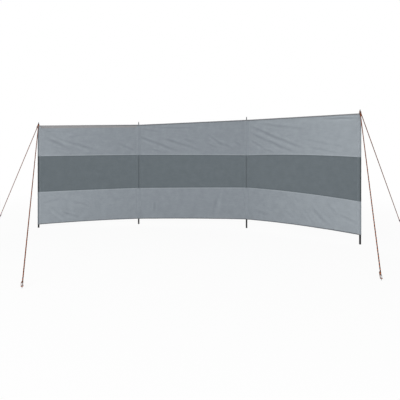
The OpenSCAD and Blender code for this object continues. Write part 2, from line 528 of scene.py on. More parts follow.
@dataclass(frozen=True)
class LaidCord(Finish):
    """Laid polypropylene line: one orange strand and two dark brown ones, streaked by drawn fibres."""

    strand: str = "#ea761c"
    tracer: str = "#452a1a"
    # Real fibres are about 0.1 mm thick, drawn coarser to show
    fibre: float = 0.0012
    # A fibre's thickness as a share of its streak's length
    fibre_slimness: float = 0.1

    def shade(self, tree: bpy.types.NodeTree, shader: bpy.types.Node) -> None:
        """Colours the strands by their mark and streaks them along the fibres.

        Args:
            tree: The new material's tree.
            shader: Its Principled shader.
        """
        along = add_node(tree, "ShaderNodeUVMap", uv_map=WEAVE_MAP).outputs["UV"]
        stretched = add_node(
            tree, "ShaderNodeMapping", {"Vector": along},
            {"Scale": (self.fibre_slimness / self.fibre, 1 / self.fibre, 1.0)},
        )
        fibres = add_node(
            tree, "ShaderNodeTexNoise", {"Vector": stretched.outputs["Vector"]},
            {"Scale": 1.0, "Detail": 3.0},
        )
        mark = add_node(tree, "ShaderNodeAttribute", attribute_name=TRACER_MARK).outputs["Fac"]
        strands = add_node(
            tree, "ShaderNodeMix", {0: mark}, {6: linear(self.strand), 7: linear(self.tracer)},
            data_type="RGBA",
        )
        shaded = add_node(
            tree, "ShaderNodeHueSaturation", {"Color": strands.outputs[2], "Value": fibres.outputs["Fac"]}
        )
        lift = add_node(
            tree, "ShaderNodeMix", {6: strands.outputs[2], 7: shaded.outputs["Color"]}, {0: 0.5},
            data_type="RGBA",
        )
        bump = add_node(
            tree, "ShaderNodeBump", {"Height": fibres.outputs["Fac"]}, {"Strength": 0.3, "Distance": 0.0003}
        )
        plug(
            tree, shader, {"Base Color": lift.outputs[2], "Normal": bump.outputs["Normal"]},
            {"Roughness": 0.65, "IOR": 1.49, "Specular IOR Level": 0.1},
        )


@dataclass(frozen=True)
class StudioFloor(Finish):
    """Matt white paper floor that the camera sees as nearly white and that still takes a shadow.

    Its glow takes over with distance from the windbreak's middle, as paper does under wide lamps.
    """

    colour: str = "#f2f2f2"
    # The paper's real tooth is a few tenths of a millimetre, drawn coarser
    tooth: float = 0.0033
    glow_share: float = 0.93
    middle: tuple[float, float] = (0.7, -0.9)
    shadow_reach: tuple[float, float] = (2.5, 7.0)

    def shade(self, tree: bpy.types.NodeTree, shader: bpy.types.Node) -> None:
        """Mixes paper with a glow of strength one for the rays that see it.

        Args:
            tree: The new material's tree.
            shader: Its Principled shader.
        """
        place = add_node(tree, "ShaderNodeTexCoord").outputs["Object"]
        tooth = add_node(tree, "ShaderNodeTexNoise", {"Vector": place}, {"Scale": 1 / self.tooth})
        rough = add_node(
            tree, "ShaderNodeMapRange", {"Value": tooth.outputs["Fac"]}, {"To Min": 0.85, "To Max": 0.95}
        )
        plug(
            tree, shader, {"Roughness": rough.outputs["Result"]},
            {"Base Color": linear(self.colour), "Specular IOR Level": 0.0},
        )
        centred = add_node(
            tree, "ShaderNodeVectorMath", {0: place}, {1: (*self.middle, 0.0)}, operation="DISTANCE"
        )
        spread = add_node(
            tree, "ShaderNodeMapRange", {"Value": centred.outputs["Value"]},
            {"From Min": self.shadow_reach[0], "From Max": self.shadow_reach[1], "To Min": self.glow_share},
            interpolation_type="SMOOTHSTEP",
        )
        share = add_node(
            tree, "ShaderNodeMath", {0: seen_rays(tree), 1: spread.outputs["Result"]}, operation="MULTIPLY"
        )
        glow = add_node(tree, "ShaderNodeEmission", values={"Color": (1.0, 1.0, 1.0, 1.0), "Strength": 1.0})
        both = add_node(
            tree, "ShaderNodeMixShader",
            {0: share.outputs[0], 1: shader.outputs["BSDF"], 2: glow.outputs["Emission"]},
        )
        plug(tree, tree.nodes["Material Output"], {"Surface": both.outputs["Shader"]})


LIGHT_CLOTH = WovenCloth("polyester_plain_weave_light")
DARK_CLOTH = WovenCloth(
    "polyester_plain_weave_dark", colour="#636c71", dull="#4f585d", pale="#7f888e", over_pole="#2b3033"
)
HEM_TAPE = TwillTape("polyester_twill_tape")
SEWING_THREAD = Thread("bonded_sewing_thread")
BLACK_TUBE = PowderCoat("powder_coated_steel_black")
BLACK_MOULDING = MouldedPlastic("moulded_polyamide_black")
EYELET_METAL = PlatedMetal("nickel_plated_eyelet", roughness=0.3)
PEG_WIRE = PlatedMetal("zinc_plated_wire", colour="#c8cacc", bloom="#a6a8aa")
GUY_CORD = LaidCord("laid_polypropylene_line")
WHIPPING = Thread("waxed_whipping_twine", light="#7d4a28", dark="#57341f", gloss=0.1)
PAPER = StudioFloor("white_paper_floor")


@dataclass
class Surface:
    """One part of a mesh in the making.

    Attributes:
        points: Corner positions, n by 3.
        quads: Corner numbers of the four-sided faces, m by 4.
        triangles: Corner numbers of the three-sided faces.
        uv: Length along and across the cloth or cord at each corner, in metres.
        finish: Number of the finish of each quad; the triangles take number zero.
        crease: Painted light and shade mark of each corner, from -1.5 for dull to 1.5 for pale;
            on the hems it is partly the tape's own fading.
        tight: How much darker the cloth is drawn over a pole at each corner, from 0 to 1: partly the
            pole showing through, partly painted shade.
        tracer: 1 on the dark strands of a cord.
    """

    points: Array
    quads: Array
    triangles: Array = field(default_factory=lambda: np.zeros((0, 3), int))
    uv: Array | None = None
    finish: Array | None = None
    crease: Array | None = None
    tight: Array | None = None
    tracer: Array | None = None


def filled(values: Array | None, shape: tuple[int, ...]) -> Array:
    """Returns the values, or zeros of that shape where there are none."""
    return np.zeros(shape) if values is None else values


def make_piece(
    name: str, parts: Sequence[Surface], finishes: Sequence[Finish]
) -> bpy.types.Object:
    """Joins surfaces into one mesh object at the origin that rides with the frame.

    Args:
        name: Name of the piece.
        parts: The surfaces, whose finish numbers count in finishes.
        finishes: The piece's finishes in order.

    Returns:
        The new object.
    """
    starts = np.cumsum([0] + [len(p.points) for p in parts])
    faces: list[list[int]] = []
    numbers: list[Array] = []
    for part, start in zip(parts, starts):
        faces += (part.quads + start).tolist() + (part.triangles + start).tolist()
        numbers.append(filled(part.finish, (len(part.quads),)))
        numbers.append(np.zeros(len(part.triangles)))
    mesh = bpy.data.meshes.new(name)
    mesh.from_pydata(np.concatenate([p.points for p in parts]).tolist(), [], faces)
    corners = np.empty(len(mesh.loops), np.int32)
    mesh.loops.foreach_get("vertex_index", corners)
    uv = np.concatenate([filled(p.uv, (len(p.points), 2)) for p in parts])
    mesh.uv_layers.new(name=WEAVE_MAP).uv.foreach_set("vector", uv[corners].astype(np.float32).ravel())
    for mark in (LIGHT_AND_SHADE_MARK, POLE_SHOW_AND_SHADE_MARK, TRACER_MARK):
        if any(getattr(p, mark) is not None for p in parts):
            values = np.concatenate([filled(getattr(p, mark), (len(p.points),)) for p in parts])
            values = values.astype(np.float32)
            mesh.attributes.new(mark, "FLOAT", "POINT").data.foreach_set("value", values)
    for finish in finishes:
        mesh.materials.append(finish.material())
    mesh.polygons.foreach_set("material_index", np.concatenate(numbers).astype(np.int32))
    mesh.polygons.foreach_set("use_smooth", np.ones(len(mesh.polygons), bool))
    mesh.set_sharp_from_angle(angle=SHARP_ANGLE)
    mesh.validate()
    piece = bpy.data.objects.new(name, mesh)
    bpy.context.scene.collection.objects.link(piece)
    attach(piece, ROOT)
    LOG.info("%s: %d faces", name, len(mesh.polygons))
    return piece


def grid_quads(ids: Array, wrap_rows: bool = False, wrap_columns: bool = False) -> Array:
    """Joins a grid of corner numbers with quads that run along a row first and then up a row.

    Args:
        ids: Corner numbers, rows by columns.
        wrap_rows: Whether the last row joins the first.
        wrap_columns: Whether the last column joins the first.

    Returns:
        Corner numbers of the quads, row by row.
    """
    if wrap_rows:
        ids = np.concatenate([ids, ids[:1]], axis=0)
    if wrap_columns:
        ids = np.concatenate([ids, ids[:, :1]], axis=1)
    return np.stack([ids[:-1, :-1], ids[:-1, 1:], ids[1:, 1:], ids[1:, :-1]], axis=-1).reshape(-1, 4)


def thin_sheet(front: Array, back: Array, uv: Array, crease: Array) -> Surface:
    """Closes a front and a back grid into one thin sheet of cloth.

    The rim runs round the front grid's edge as its faces do, and each step of it is a quad to the
    back grid, so all faces point out of the cloth.

    Args:
        front: Front corner positions, rows by columns by 3, rows from the bottom and columns from the left.
        back: The partners of the front corners on the back of the cloth.
        uv: Woven coordinates of the front corners.
        crease: Painted light and shade marks of the front corners.

    Returns:
        The closed surface.
    """
    rows, columns = front.shape[:2]
    ids = np.arange(rows * columns).reshape(rows, columns)
    rim = np.concatenate([ids[0, :-1], ids[:-1, -1], ids[-1, :0:-1], ids[:0:-1, 0]])
    following = np.roll(rim, -1)
    step = rows * columns
    sides = np.stack([following, rim, rim + step, following + step], axis=-1)
    return Surface(
        points=np.concatenate([front.reshape(-1, 3), back.reshape(-1, 3)]),
        quads=np.concatenate([grid_quads(ids), grid_quads(ids)[:, ::-1] + step, sides]),
        uv=np.tile(uv.reshape(-1, 2), (2, 1)),
        crease=np.tile(crease.ravel(), 2),
    )


def capped_tube(rings: Array, uv: Array, tips: tuple[Array, Array] | None = None) -> Surface:
    """Skins a row of closed rings and closes both ends with a fan to a tip.

    Args:
        rings: Ring corner positions, rings by sides by 3, turning right-handed about the path.
        uv: Coordinates of the ring corners.
        tips: End points of the fans, which are the end rings' middles where none are given.

    Returns:
        The closed surface.
    """
    count, sides = rings.shape[:2]
    ids = np.arange(count * sides).reshape(count, sides)
    first, last = tips if tips is not None else (rings[0].mean(axis=0), rings[-1].mean(axis=0))
    tip = count * sides
    start = np.stack([np.full(sides, tip), np.roll(ids[0], -1), ids[0]], axis=-1)
    end = np.stack([np.full(sides, tip + 1), ids[-1], np.roll(ids[-1], -1)], axis=-1)
    return Surface(
        points=np.concatenate([rings.reshape(-1, 3), first[None], last[None]]),
        quads=grid_quads(ids, wrap_columns=True),
        triangles=np.concatenate([start, end]),
        uv=np.concatenate([uv.reshape(-1, 2), uv[0, :1], uv[-1, :1]]),
    )


@dataclass(frozen=True)
class Fold:
    """A tension fold that runs across a bay.

    Its section is a damped wave, rise times cos(2 pi d / 3w) times exp(-(d / 1.5w)^2), where d is the
    distance from the fold's line and w its width, so a trough has a low ridge on each side. It fades
    in and out past its ends. Along the fold, slow sines move the line by waver times its width and the
    depth by swell of itself, and each fold has its own phase, worked out from where it starts.

    Attributes:
        start: Distance from the left pole and height above the lower edge at one end.
        end: The same at the other end.
        rise: Height towards the front, below zero for a trough.
        width: Half width of the trough or ridge.
        bow: Distance by which the line's middle bows up.
        waver: How far the slow sine moves the line, and its period.
        swell: How far the slow sine changes the depth, and its period.
        fade_in: Shares of the way at which it starts and is full.
        fade_out: Shares of the way at which it has gone and is still full.
        full: The mean share of its rise that it has between them.
    """

    start: tuple[float, float]
    end: tuple[float, float]
    rise: float
    width: float = 0.03
    bow: float = 0.0
    waver: tuple[float, float] = (0.1, 0.3)
    swell: tuple[float, float] = (0.17, 0.37)
    fade_in: tuple[float, float] = (-0.12, 0.2)
    fade_out: tuple[float, float] = (1.15, 0.6)
    full: float = 0.85

    def depth(self, s: Array, h: Array) -> Array:
        """Gives the fold's height towards the front.

        Args:
            s: Distances from the left pole.
            h: Heights above the lower edge.

        Returns:
            Heights in metres, with s's shape.
        """
        run = np.subtract(self.end, self.start)
        length = math.hypot(*run)
        t = ((s - self.start[0]) * run[0] + (h - self.start[1]) * run[1]) / length**2
        across = ((h - self.start[1]) * run[0] - (s - self.start[0]) * run[1]) / length
        own = 40 * self.start[0] + 90 * self.start[1]
        waver = self.waver[0] * np.sin(2 * np.pi * length * t / self.waver[1] + own)
        swell = self.swell[0] * np.sin(2 * np.pi * length * t / self.swell[1] + 1.7 * own)
        across = (across - self.bow * 4 * t * (1 - t)) / self.width + waver
        fade = smooth_step(*self.fade_in, t) * smooth_step(*self.fade_out, t) * (self.full + swell)
        return self.rise * fade * np.cos(2 * np.pi * across / 3) * np.exp(-((across / 1.5) ** 2))


@dataclass(frozen=True)
class Ripple:
    """A wave of the cloth: rise times sin(2 pi (s / along + h / across) + turn times the bay's phase).

    Attributes:
        rise: Its height.
        along: Its period along the bay.
        across: Its period up the bay.
        turn: How far the bay's phase turns it.
    """

    rise: float
    along: float
    across: float
    turn: float

    def depth(self, s: Array, h: Array, phase: float) -> Array:
        """Gives the wave's height towards the front.

        Args:
            s: Distances from the left pole.
            h: Heights above the lower edge.
            phase: The bay's phase.

        Returns:
            Heights in metres, with s's shape.
        """
        return self.rise * np.sin(2 * np.pi * (s / self.along + h / self.across) + self.turn * phase)


SLOW_WAVES = (Ripple(0.0016, 0.41, 0.62, 1.0), Ripple(0.0011, 0.23, -0.35, 2.3))
# Puckers stand upright, so they don't change up the bay
PUCKERS = (Ripple(0.0009, 0.061, math.inf, 3.0), Ripple(0.0006, 0.037, math.inf, 1.0))


@dataclass(frozen=True)
class Edge:
    """A line along a bay that joins a height at its left end to one at its right end, bowed by rise."""

    left: float
    right: float
    rise: float = 0.0

    def height(self, t: Array) -> Array:
        """Gives heights at shares of the way, as a straight line plus rise times 4t(1 - t)."""
        return self.left + (self.right - self.left) * t + self.rise * 4 * t * (1 - t)


@dataclass(frozen=True)
class PaintedLight:
    """Painted light and shade of a bay: marks at its left end, its right end, and by a bow between them.

    Attributes:
        light: Marks of the light bands.
        dark: Marks of the dark band.
        hem: Marks of the top hem, partly the tape's fading and partly painted light.
        spray: More painted light on the lower light band than on the upper one.
        under_hem_light: More painted light on the cloth just under the top hem.
    """

    light: tuple[float, ...]
    dark: tuple[float, ...]
    hem: tuple[float, ...]
    spray: tuple[float, ...]
    under_hem_light: tuple[float, ...] = (0.0, 0.0)


class Band(Enum):
    """The cloth's three bands, named as their solids are."""

    LOWER = "lower"
    MIDDLE = "middle"
    UPPER = "upper"


@dataclass
class Bay:
    """One bay of cloth between two poles: its three bands, two hems and stitching.

    Attributes:
        number: Number of the bay from the left, and of its left pole.
        nodes: The frame's solids by name.
        folds: Its tension folds.
        painted_light: Its painted light and shade.
        ripple_phase: Phase of its waves.
        cut_at: Where its cloth was cut from the roll, so that no two bays have the same clouds.
        turned: How much further down than its solid the top hem is turned over the cloth.
        reach: Distance of the sleeve seams from the poles' axes.
        belly: Depth of the hollow in the bay's middle.
        cloth_height: The cloth's height at a pole.
        pucker_reach: Distance from a hem over which the puckers fall to about a third.
        held_reach: Distance from a sleeve seam within which the cloth is held flat.
        fold_mark: Depth at which a fold gets its full painted highlight or shade.
        under_hem_light_reach: Where the painted light under the top hem starts, is strongest and has gone.
        seam_shadow_depth: How much painted shadow the dark cloth has along a seam.
        seam_shadow_reach: Distances from a seam at which that starts and is full.
        lap_highlight_strength: How much painted highlight the light cloth has on its lap along a seam.
        lap_highlight_reach: Distances from a seam at which that starts and is full.
        cloth_half: Half the cloth's thickness.
        lap: How far the dark band runs on behind the light ones.
        lap_step: How far the light bands step forward there.
        lap_slope: Distances from a seam at which they start to step forward and have done so.
        tuck: How far the cloth runs on into a hem or sleeve.
        hem_half: Half a hem's thickness.
        hem_square: The two powers that square a hem's section.
        hem_sides: Corners of a hem's section.
        hem_row: Distance of the second row of stitches from the top edge.
        seam_rows: Distances of the two rows of stitches from a seam's edge.
        sleeve_row: Distance of the sleeves' stitches from the bay's ends, and half their depth.
        stitch_pitch: Length from stitch to stitch.
        stitch_share: Share of that which the thread shows.
        stitch_half: Half a stitch's width.
        thread: The sewing thread's thickness.
        columns: Columns of a band's grid.
        row_step: Height of a light band's rows.
        dark_row_step: Height of a dark band's rows.
    """

    number: int
    nodes: dict[str, bpy.types.Object]
    folds: tuple[Fold, ...]
    painted_light: PaintedLight
    ripple_phase: float
    cut_at: float
    turned: float
    reach: float = 0.032
    belly: float = 0.010
    cloth_height: float = 1.4
    pucker_reach: float = 0.035
    held_reach: float = 0.05
    fold_mark: float = 0.007
    under_hem_light_reach: tuple[float, float, float] = (0.015, 0.045, 0.14)
    # Painted shadow of the laps on the dark band
    seam_shadow_depth: float = 0.8
    seam_shadow_reach: tuple[float, float] = (0.016, 0.004)
    # Painted highlight on the light bands' laps
    lap_highlight_strength: float = 0.7
    lap_highlight_reach: tuple[float, float] = (0.016, 0.008)
    cloth_half: float = 0.0004
    lap: float = 0.012
    lap_step: float = 0.0011
    lap_slope: tuple[float, float] = (0.018, 0.008)
    tuck: float = 0.004
    hem_half: float = 0.0017
    hem_square: tuple[float, float] = (6.7, 0.22)
    hem_sides: int = 28
    hem_row: float = 0.040
    seam_rows: tuple[float, float] = (0.003, 0.009)
    sleeve_row: float = 0.0025
    stitch_pitch: float = 0.008
    stitch_share: float = 0.8
    stitch_half: float = 0.0006
    thread: float = 0.0004
    columns: int = 190
    row_step: float = 0.0065
    dark_row_step: float = 0.010
    start: Array = field(init=False)
    along: Array = field(init=False)
    front: Array = field(init=False)
    length: float = field(init=False)
    base: Edge = field(init=False)
    top: Edge = field(init=False)

    def __post_init__(self) -> None:
        """Reads the bay's place from its poles' solids and its outer edges from its hems'."""
        axes = [np.add(*[np.array(c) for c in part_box(f"pole_{self.number + k}")]) / 2 for k in (0, 1)]
        run = (axes[1] - axes[0]) * (1 - UP)
        self.start = axes[0] * (1 - UP)
        self.length = float(np.linalg.norm(run))
        self.along = run / self.length
        self.front = np.cross(self.along, UP)
        low, _ = self.edges(f"bottom_hem_{self.number}")
        _, self.top = self.edges(f"top_hem_{self.number}")
        self.base = Edge(low.left, low.right)

    def edges(self, node: str) -> tuple[Edge, Edge]:
        """Reads a strip solid's lower and upper edges from its corners at both ends and in the middle.

        Args:
            node: Name of the strip's solid.

        Returns:
            The lower and the upper edge, each with the bow of the solid's edge.
        """
        mesh = self.nodes[node].data
        points = np.empty(len(mesh.vertices) * 3, np.float32)
        mesh.vertices.foreach_get("co", points)
        points = points.reshape(-1, 3).astype(float)
        s = (points - self.start) @ self.along
        left, right = points[s < s.min() + 1e-4, 2], points[s > s.max() - 1e-4, 2]
        middle = points[np.abs(s - self.length / 2) < 1e-3, 2]
        edges = []
        for pick in (np.min, np.max):
            ends = float(pick(left)), float(pick(right))
            halfway = sum(ends) / 2
            # An edge bows by less than this from the straight line between its ends
            near = middle[np.abs(middle - halfway) < 0.06]
            edges.append(Edge(*ends, float(pick(near)) - halfway if len(near) else 0.0))
        return edges[0], edges[1]

    def share(self, s: Array) -> Array:
        """Gives the share of the way from sleeve seam to sleeve seam at distances from the left pole."""
        return (s - self.reach) / (self.length - 2 * self.reach)

    def depth(self, s: Array, z: Array) -> Array:
        """Gives how far the cloth stands towards the front of the bay's plane.

        It is the sum of the tension folds, two crossing sets of slow waves, and short puckers that die
        away with the distance from a hem, less a hollow of belly times 4t(1 - t) times sin(pi v). All of
        it fades to nothing at the sleeve seams.

        Args:
            s: Distances from the left pole.
            z: Heights above the ground.

        Returns:
            Distances in metres, with s's shape.
        """
        t = self.share(s)
        h = z - self.base.height(t)
        v = h / (self.top.height(t) - self.base.height(t))
        folds = sum(fold.depth(s, h) for fold in self.folds)
        waves = sum(wave.depth(s, h, self.ripple_phase) for wave in SLOW_WAVES)
        puckers = sum(pucker.depth(s, h, self.ripple_phase) for pucker in PUCKERS)
        from_hem = np.clip(np.minimum(h, (1 - v) * self.cloth_height), 0, None)
        puckers = puckers * np.exp(-from_hem / self.pucker_reach)
        hollow = self.belly * 4 * t * (1 - t) * np.sin(np.pi * np.clip(v, 0, 1))
        from_seam = np.minimum(s, self.length - s) - self.reach
        return (folds + waves + puckers - hollow) * smooth_step(0, self.held_reach, from_seam)

    def place(self, s: Array, z: Array, d: Array) -> Array:
        """Turns distances along the bay, heights and distances to the front into points.

        Args:
            s: Distances from the left pole.
            z: Heights above the ground.
            d: Distances in front of the bay's plane.

        Returns:
            Points, with a last axis of three.
        """
        return self.start + s[..., None] * self.along + d[..., None] * self.front + z[..., None] * UP

    def crease(self, s: Array, z: Array) -> Array:
        """Paints a highlight on fold ridges and shade in their troughs, by how far the folds stand out.

        Args:
            s: Distances from the left pole.
            z: Heights above the ground.

        Returns:
            Marks from -1 to 1, with s's shape.
        """
        h = z - self.base.height(self.share(s))
        folds = sum(fold.depth(s, h) for fold in self.folds)
        return np.clip(folds / self.fold_mark, -1, 1)

    def tone(self, kind: Band, s: Array, z: Array, gap: Array) -> Array:
        """Marks a band's cloth with painted light and shade: on its folds, along the bay, and at its seams.

        The dark band has painted shade along its seams, and the light ones a painted highlight on the laps.
        The lower band has more painted light as well, and the upper one painted light under its hem.

        Args:
            kind: Which of the three bands.
            s: Distances from the left pole.
            z: Heights above the ground.
            gap: Distances from the band's seam, or from the nearer one of two.

        Returns:
            Marks from -1.5 for dull to 1.5 for pale, with s's shape.
        """
        t = self.share(s)
        # Painted shade in fold troughs and painted highlight on fold ridges
        marks = self.crease(s, z)
        if kind is Band.MIDDLE:
            # Painted shadow of the light bands' laps along the dark band's seams
            seam_shadow = smooth_step(*self.seam_shadow_reach, gap)
            marks = marks + Edge(*self.painted_light.dark).height(t) - self.seam_shadow_depth * seam_shadow
        else:
            # Painted highlight on the laps of the light bands
            lap_highlight = smooth_step(*self.lap_highlight_reach, gap)
            marks = marks + Edge(*self.painted_light.light).height(t) + self.lap_highlight_strength * lap_highlight
        if kind is Band.LOWER:
            # More painted light on the lower band
            marks = marks + Edge(*self.painted_light.spray).height(t)
        if kind is Band.UPPER:
            # Painted light on the cloth just under the top hem
            under_hem = self.top.height(t) - z
            near, palest, far = self.under_hem_light_reach
            under_hem_light = smooth_step(near, palest, under_hem) * smooth_step(far, palest, under_hem)
            marks = marks + Edge(*self.painted_light.under_hem_light).height(t) * under_hem_light
        return np.clip(marks, -1.5, 1.5)

    def band(self, kind: Band) -> bpy.types.Object:
        """Builds one band as a thin closed sheet.

        The light bands lie in front of the dark one at the seams: within a lap of the seam they step
        forward, and the dark band runs on behind them by the lap.

        Args:
            kind: Which of the three bands.

        Returns:
            The band's piece.
        """
        node = f"{kind.value}_band_{self.number}"
        low, high = self.edges(node)
        s = np.linspace(self.reach - self.tuck, self.length - self.reach + self.tuck, self.columns)
        t = self.share(s)
        foot = low.height(t) - {Band.MIDDLE: self.lap, Band.LOWER: self.tuck}.get(kind, 0.0)
        head = high.height(t) + {Band.MIDDLE: self.lap, Band.UPPER: self.tuck}.get(kind, 0.0)
        row_step = self.dark_row_step if kind is Band.MIDDLE else self.row_step
        v = np.linspace(0, 1, 12 + int(float((head - foot).max()) / row_step))[:, None]
        z = foot + (head - foot) * v
        s = np.broadcast_to(s, z.shape)
        d = self.depth(s, z)
        above, below = z - low.height(t), high.height(t) - z
        gap = {Band.LOWER: below, Band.MIDDLE: np.minimum(above, below), Band.UPPER: above}[kind]
        if kind is not Band.MIDDLE:
            d = d + self.lap_step * smooth_step(*self.lap_slope, gap)
        sheet = thin_sheet(
            self.place(s, z, d + self.cloth_half), self.place(s, z, d - self.cloth_half),
            np.stack([s + self.cut_at, z], axis=-1), self.tone(kind, s, z, gap),
        )
        finish, slot = (DARK_CLOTH, "cloth_dark") if kind is Band.MIDDLE else (LIGHT_CLOTH, "cloth_light")
        piece = make_piece(f"cloth_{kind.value}_{self.number}", [sheet], [finish])
        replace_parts(piece, node)
        return piece

    def hem(self, name: str, node: str, fade_and_light: tuple[float, ...], turned: float = 0.0) -> bpy.types.Object:
        """Builds a hem as a rounded tape carried along the bay's edge.

        The section is a squared ellipse: at the share y of its half height, it is (1 - |y|^a)^b of its
        half thickness thick, with a and b from hem_square. The part that is turned down past the solid
        has the tape's palest, greyest colour.

        Args:
            name: Name of the piece.
            node: Name of the hem's solid.
            fade_and_light: How much paler it is drawn at its left end, its right end, and by a bow between
                them, partly the tape's fading and partly painted light.
            turned: How much further down the hem is turned over the cloth than its solid.

        Returns:
            The hem's piece.
        """
        low, high = self.edges(node)
        low = Edge(low.left - turned, low.right - turned, low.rise)
        s = np.linspace(self.reach, self.length - self.reach, self.columns)[:, None]
        t = self.share(s)
        angle = np.linspace(0, 2 * np.pi, self.hem_sides, endpoint=False)
        tall = np.cos(angle)
        flat, blunt = self.hem_square
        thick = np.sign(np.sin(angle)) * np.clip(1 - np.abs(tall) ** flat, 0, 1) ** blunt
        middle = (low.height(t) + high.height(t)) / 2
        z = middle + (high.height(t) - low.height(t)) / 2 * tall
        wide = np.broadcast_to(s, z.shape)
        d = self.depth(wide, z) + self.hem_half * thick
        tape = capped_tube(self.place(wide, z, d), np.stack([wide, z], axis=-1))
        # Paler tape along the bay, partly its own fading and partly painted light; fully pale where turned
        # down
        light_marks = np.broadcast_to(Edge(*fade_and_light).height(t), z.shape)
        light_marks = np.where(z < low.height(t) + turned, np.maximum(light_marks, 1.0), light_marks).ravel()
        tape.crease = np.concatenate([light_marks, light_marks[:1], light_marks[-1:]])
        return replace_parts(make_piece(f"{name}_{self.number}", [tape], [HEM_TAPE]), node)

    def stitch_row(self, s: Array, z: Array, half_depth: float, offset: float = 0.0) -> Surface:
        """Lays a row of stitches that go through the cloth and show on both faces.

        Each stitch is a lozenge of two end tips and two four-cornered rings, laid along the row.

        Args:
            s: Distances from the left pole of points along the row, close together.
            z: Their heights.
            half_depth: Half the thickness of what the stitches hold, thread included.
            offset: Distance of the middle of the layers in front of the cloth's own middle.

        Returns:
            All stitches of the row.
        """
        line = np.stack([s, z], axis=-1)
        steps = np.linalg.norm(np.diff(line, axis=0), axis=1)
        run = np.concatenate([[0.0], np.cumsum(steps)])
        at = np.arange(self.stitch_pitch / 2, run[-1], self.stitch_pitch)
        cs, cz = np.interp(at, run, s), np.interp(at, run, z)
        slope = np.stack([np.interp(at, run, np.gradient(s)), np.interp(at, run, np.gradient(z))], axis=-1)
        slope = slope / np.linalg.norm(slope, axis=1, keepdims=True)
        lay = slope[:, :1] * self.along + slope[:, 1:] * UP
        side = np.cross(self.front, lay)
        middle = self.place(cs, cz, self.depth(cs, cz) + offset)
        half_length = self.stitch_pitch * self.stitch_share / 2
        corners = np.array([
            (-1, 0, 0), (-0.6, -1, -1), (-0.6, 1, -1), (-0.6, 1, 1), (-0.6, -1, 1),
            (0.6, -1, -1), (0.6, 1, -1), (0.6, 1, 1), (0.6, -1, 1), (1, 0, 0),
        ]) * (half_length, self.stitch_half, half_depth)
        points = (
            middle[:, None] + corners[:, 0, None] * lay[:, None]
            + corners[:, 1, None] * side[:, None] + corners[:, 2, None] * self.front
        )
        quads = np.array([(1, 5, 6, 2), (2, 6, 7, 3), (3, 7, 8, 4), (4, 8, 5, 1)])[:, ::-1]
        fans = np.array([
            (0, 1, 2), (0, 2, 3), (0, 3, 4), (0, 4, 1), (9, 6, 5), (9, 7, 6), (9, 8, 7), (9, 5, 8),
        ])
        shift = len(corners) * np.arange(len(at))[:, None, None]
        return Surface(
            points=points.reshape(-1, 3), quads=(quads + shift).reshape(-1, 4),
            triangles=(fans[:, ::-1] + shift).reshape(-1, 3),
        )

    def stitching(self) -> bpy.types.Object:
        """Sews the hems, both seams and the two sleeve seams of the bay.

        Returns:
            The bay's stitching as one piece.
        """
        s = np.linspace(self.reach + self.tuck, self.length - self.reach - self.tuck, 400)
        t = self.share(s)
        hem_low, _ = self.edges(f"top_hem_{self.number}")
        foot_low, foot_high = self.edges(f"bottom_hem_{self.number}")
        lower_seam, upper_seam = self.edges(f"middle_band_{self.number}")
        cloth, hem = self.cloth_half + self.thread, self.hem_half + self.thread
        seam = cloth + self.lap_step / 2
        rows = [
            self.stitch_row(s, hem_low.height(t) - self.turned + self.tuck, hem),
            self.stitch_row(s, self.top.height(t) - self.hem_row - self.turned / 2, cloth),
            self.stitch_row(s, (foot_low.height(t) + foot_high.height(t)) / 2, hem),
        ]
        for edge, way in ((upper_seam, 1), (lower_seam, -1)):
            for back in self.seam_rows:
                rows.append(self.stitch_row(s, edge.height(t) + way * back, seam, self.lap_step / 2))
        for at in (self.reach - self.sleeve_row, self.length - self.reach + self.sleeve_row):
            share = self.share(np.array(at))
            z = np.linspace(self.base.height(share) + 0.006, self.top.height(share) - 0.006, 60)
            rows.append(self.stitch_row(np.full_like(z, at), z, self.sleeve_row))
        return make_piece(f"stitching_{self.number}", rows, [SEWING_THREAD])

    def build(self) -> None:
        """Builds the bay's hems first, since the bands name them, then its bands and stitching."""
        self.hem("hem_top", f"top_hem_{self.number}", self.painted_light.hem, self.turned)
        self.hem("hem_bottom", f"bottom_hem_{self.number}", (0.0, 0.0))
        for kind in Band:
            self.band(kind)
        self.stitching()


@dataclass(frozen=True)
class SleeveLook:
    """How a sleeve's cloth looks on its pole.

    Attributes:
        pole_show_and_shade: How dark the cloth over the pole is drawn in the lower, the middle and the
            upper band, partly the black pole showing through and partly painted shade.
        flap_highlight: Painted highlight on the flaps beside the pole, which offsets their shade.
        rim: How far past its axis towards the cloth the end pole's painted shade reaches.
    """

    pole_show_and_shade: tuple[float, float, float]
    flap_highlight: float
    rim: float = 0.0


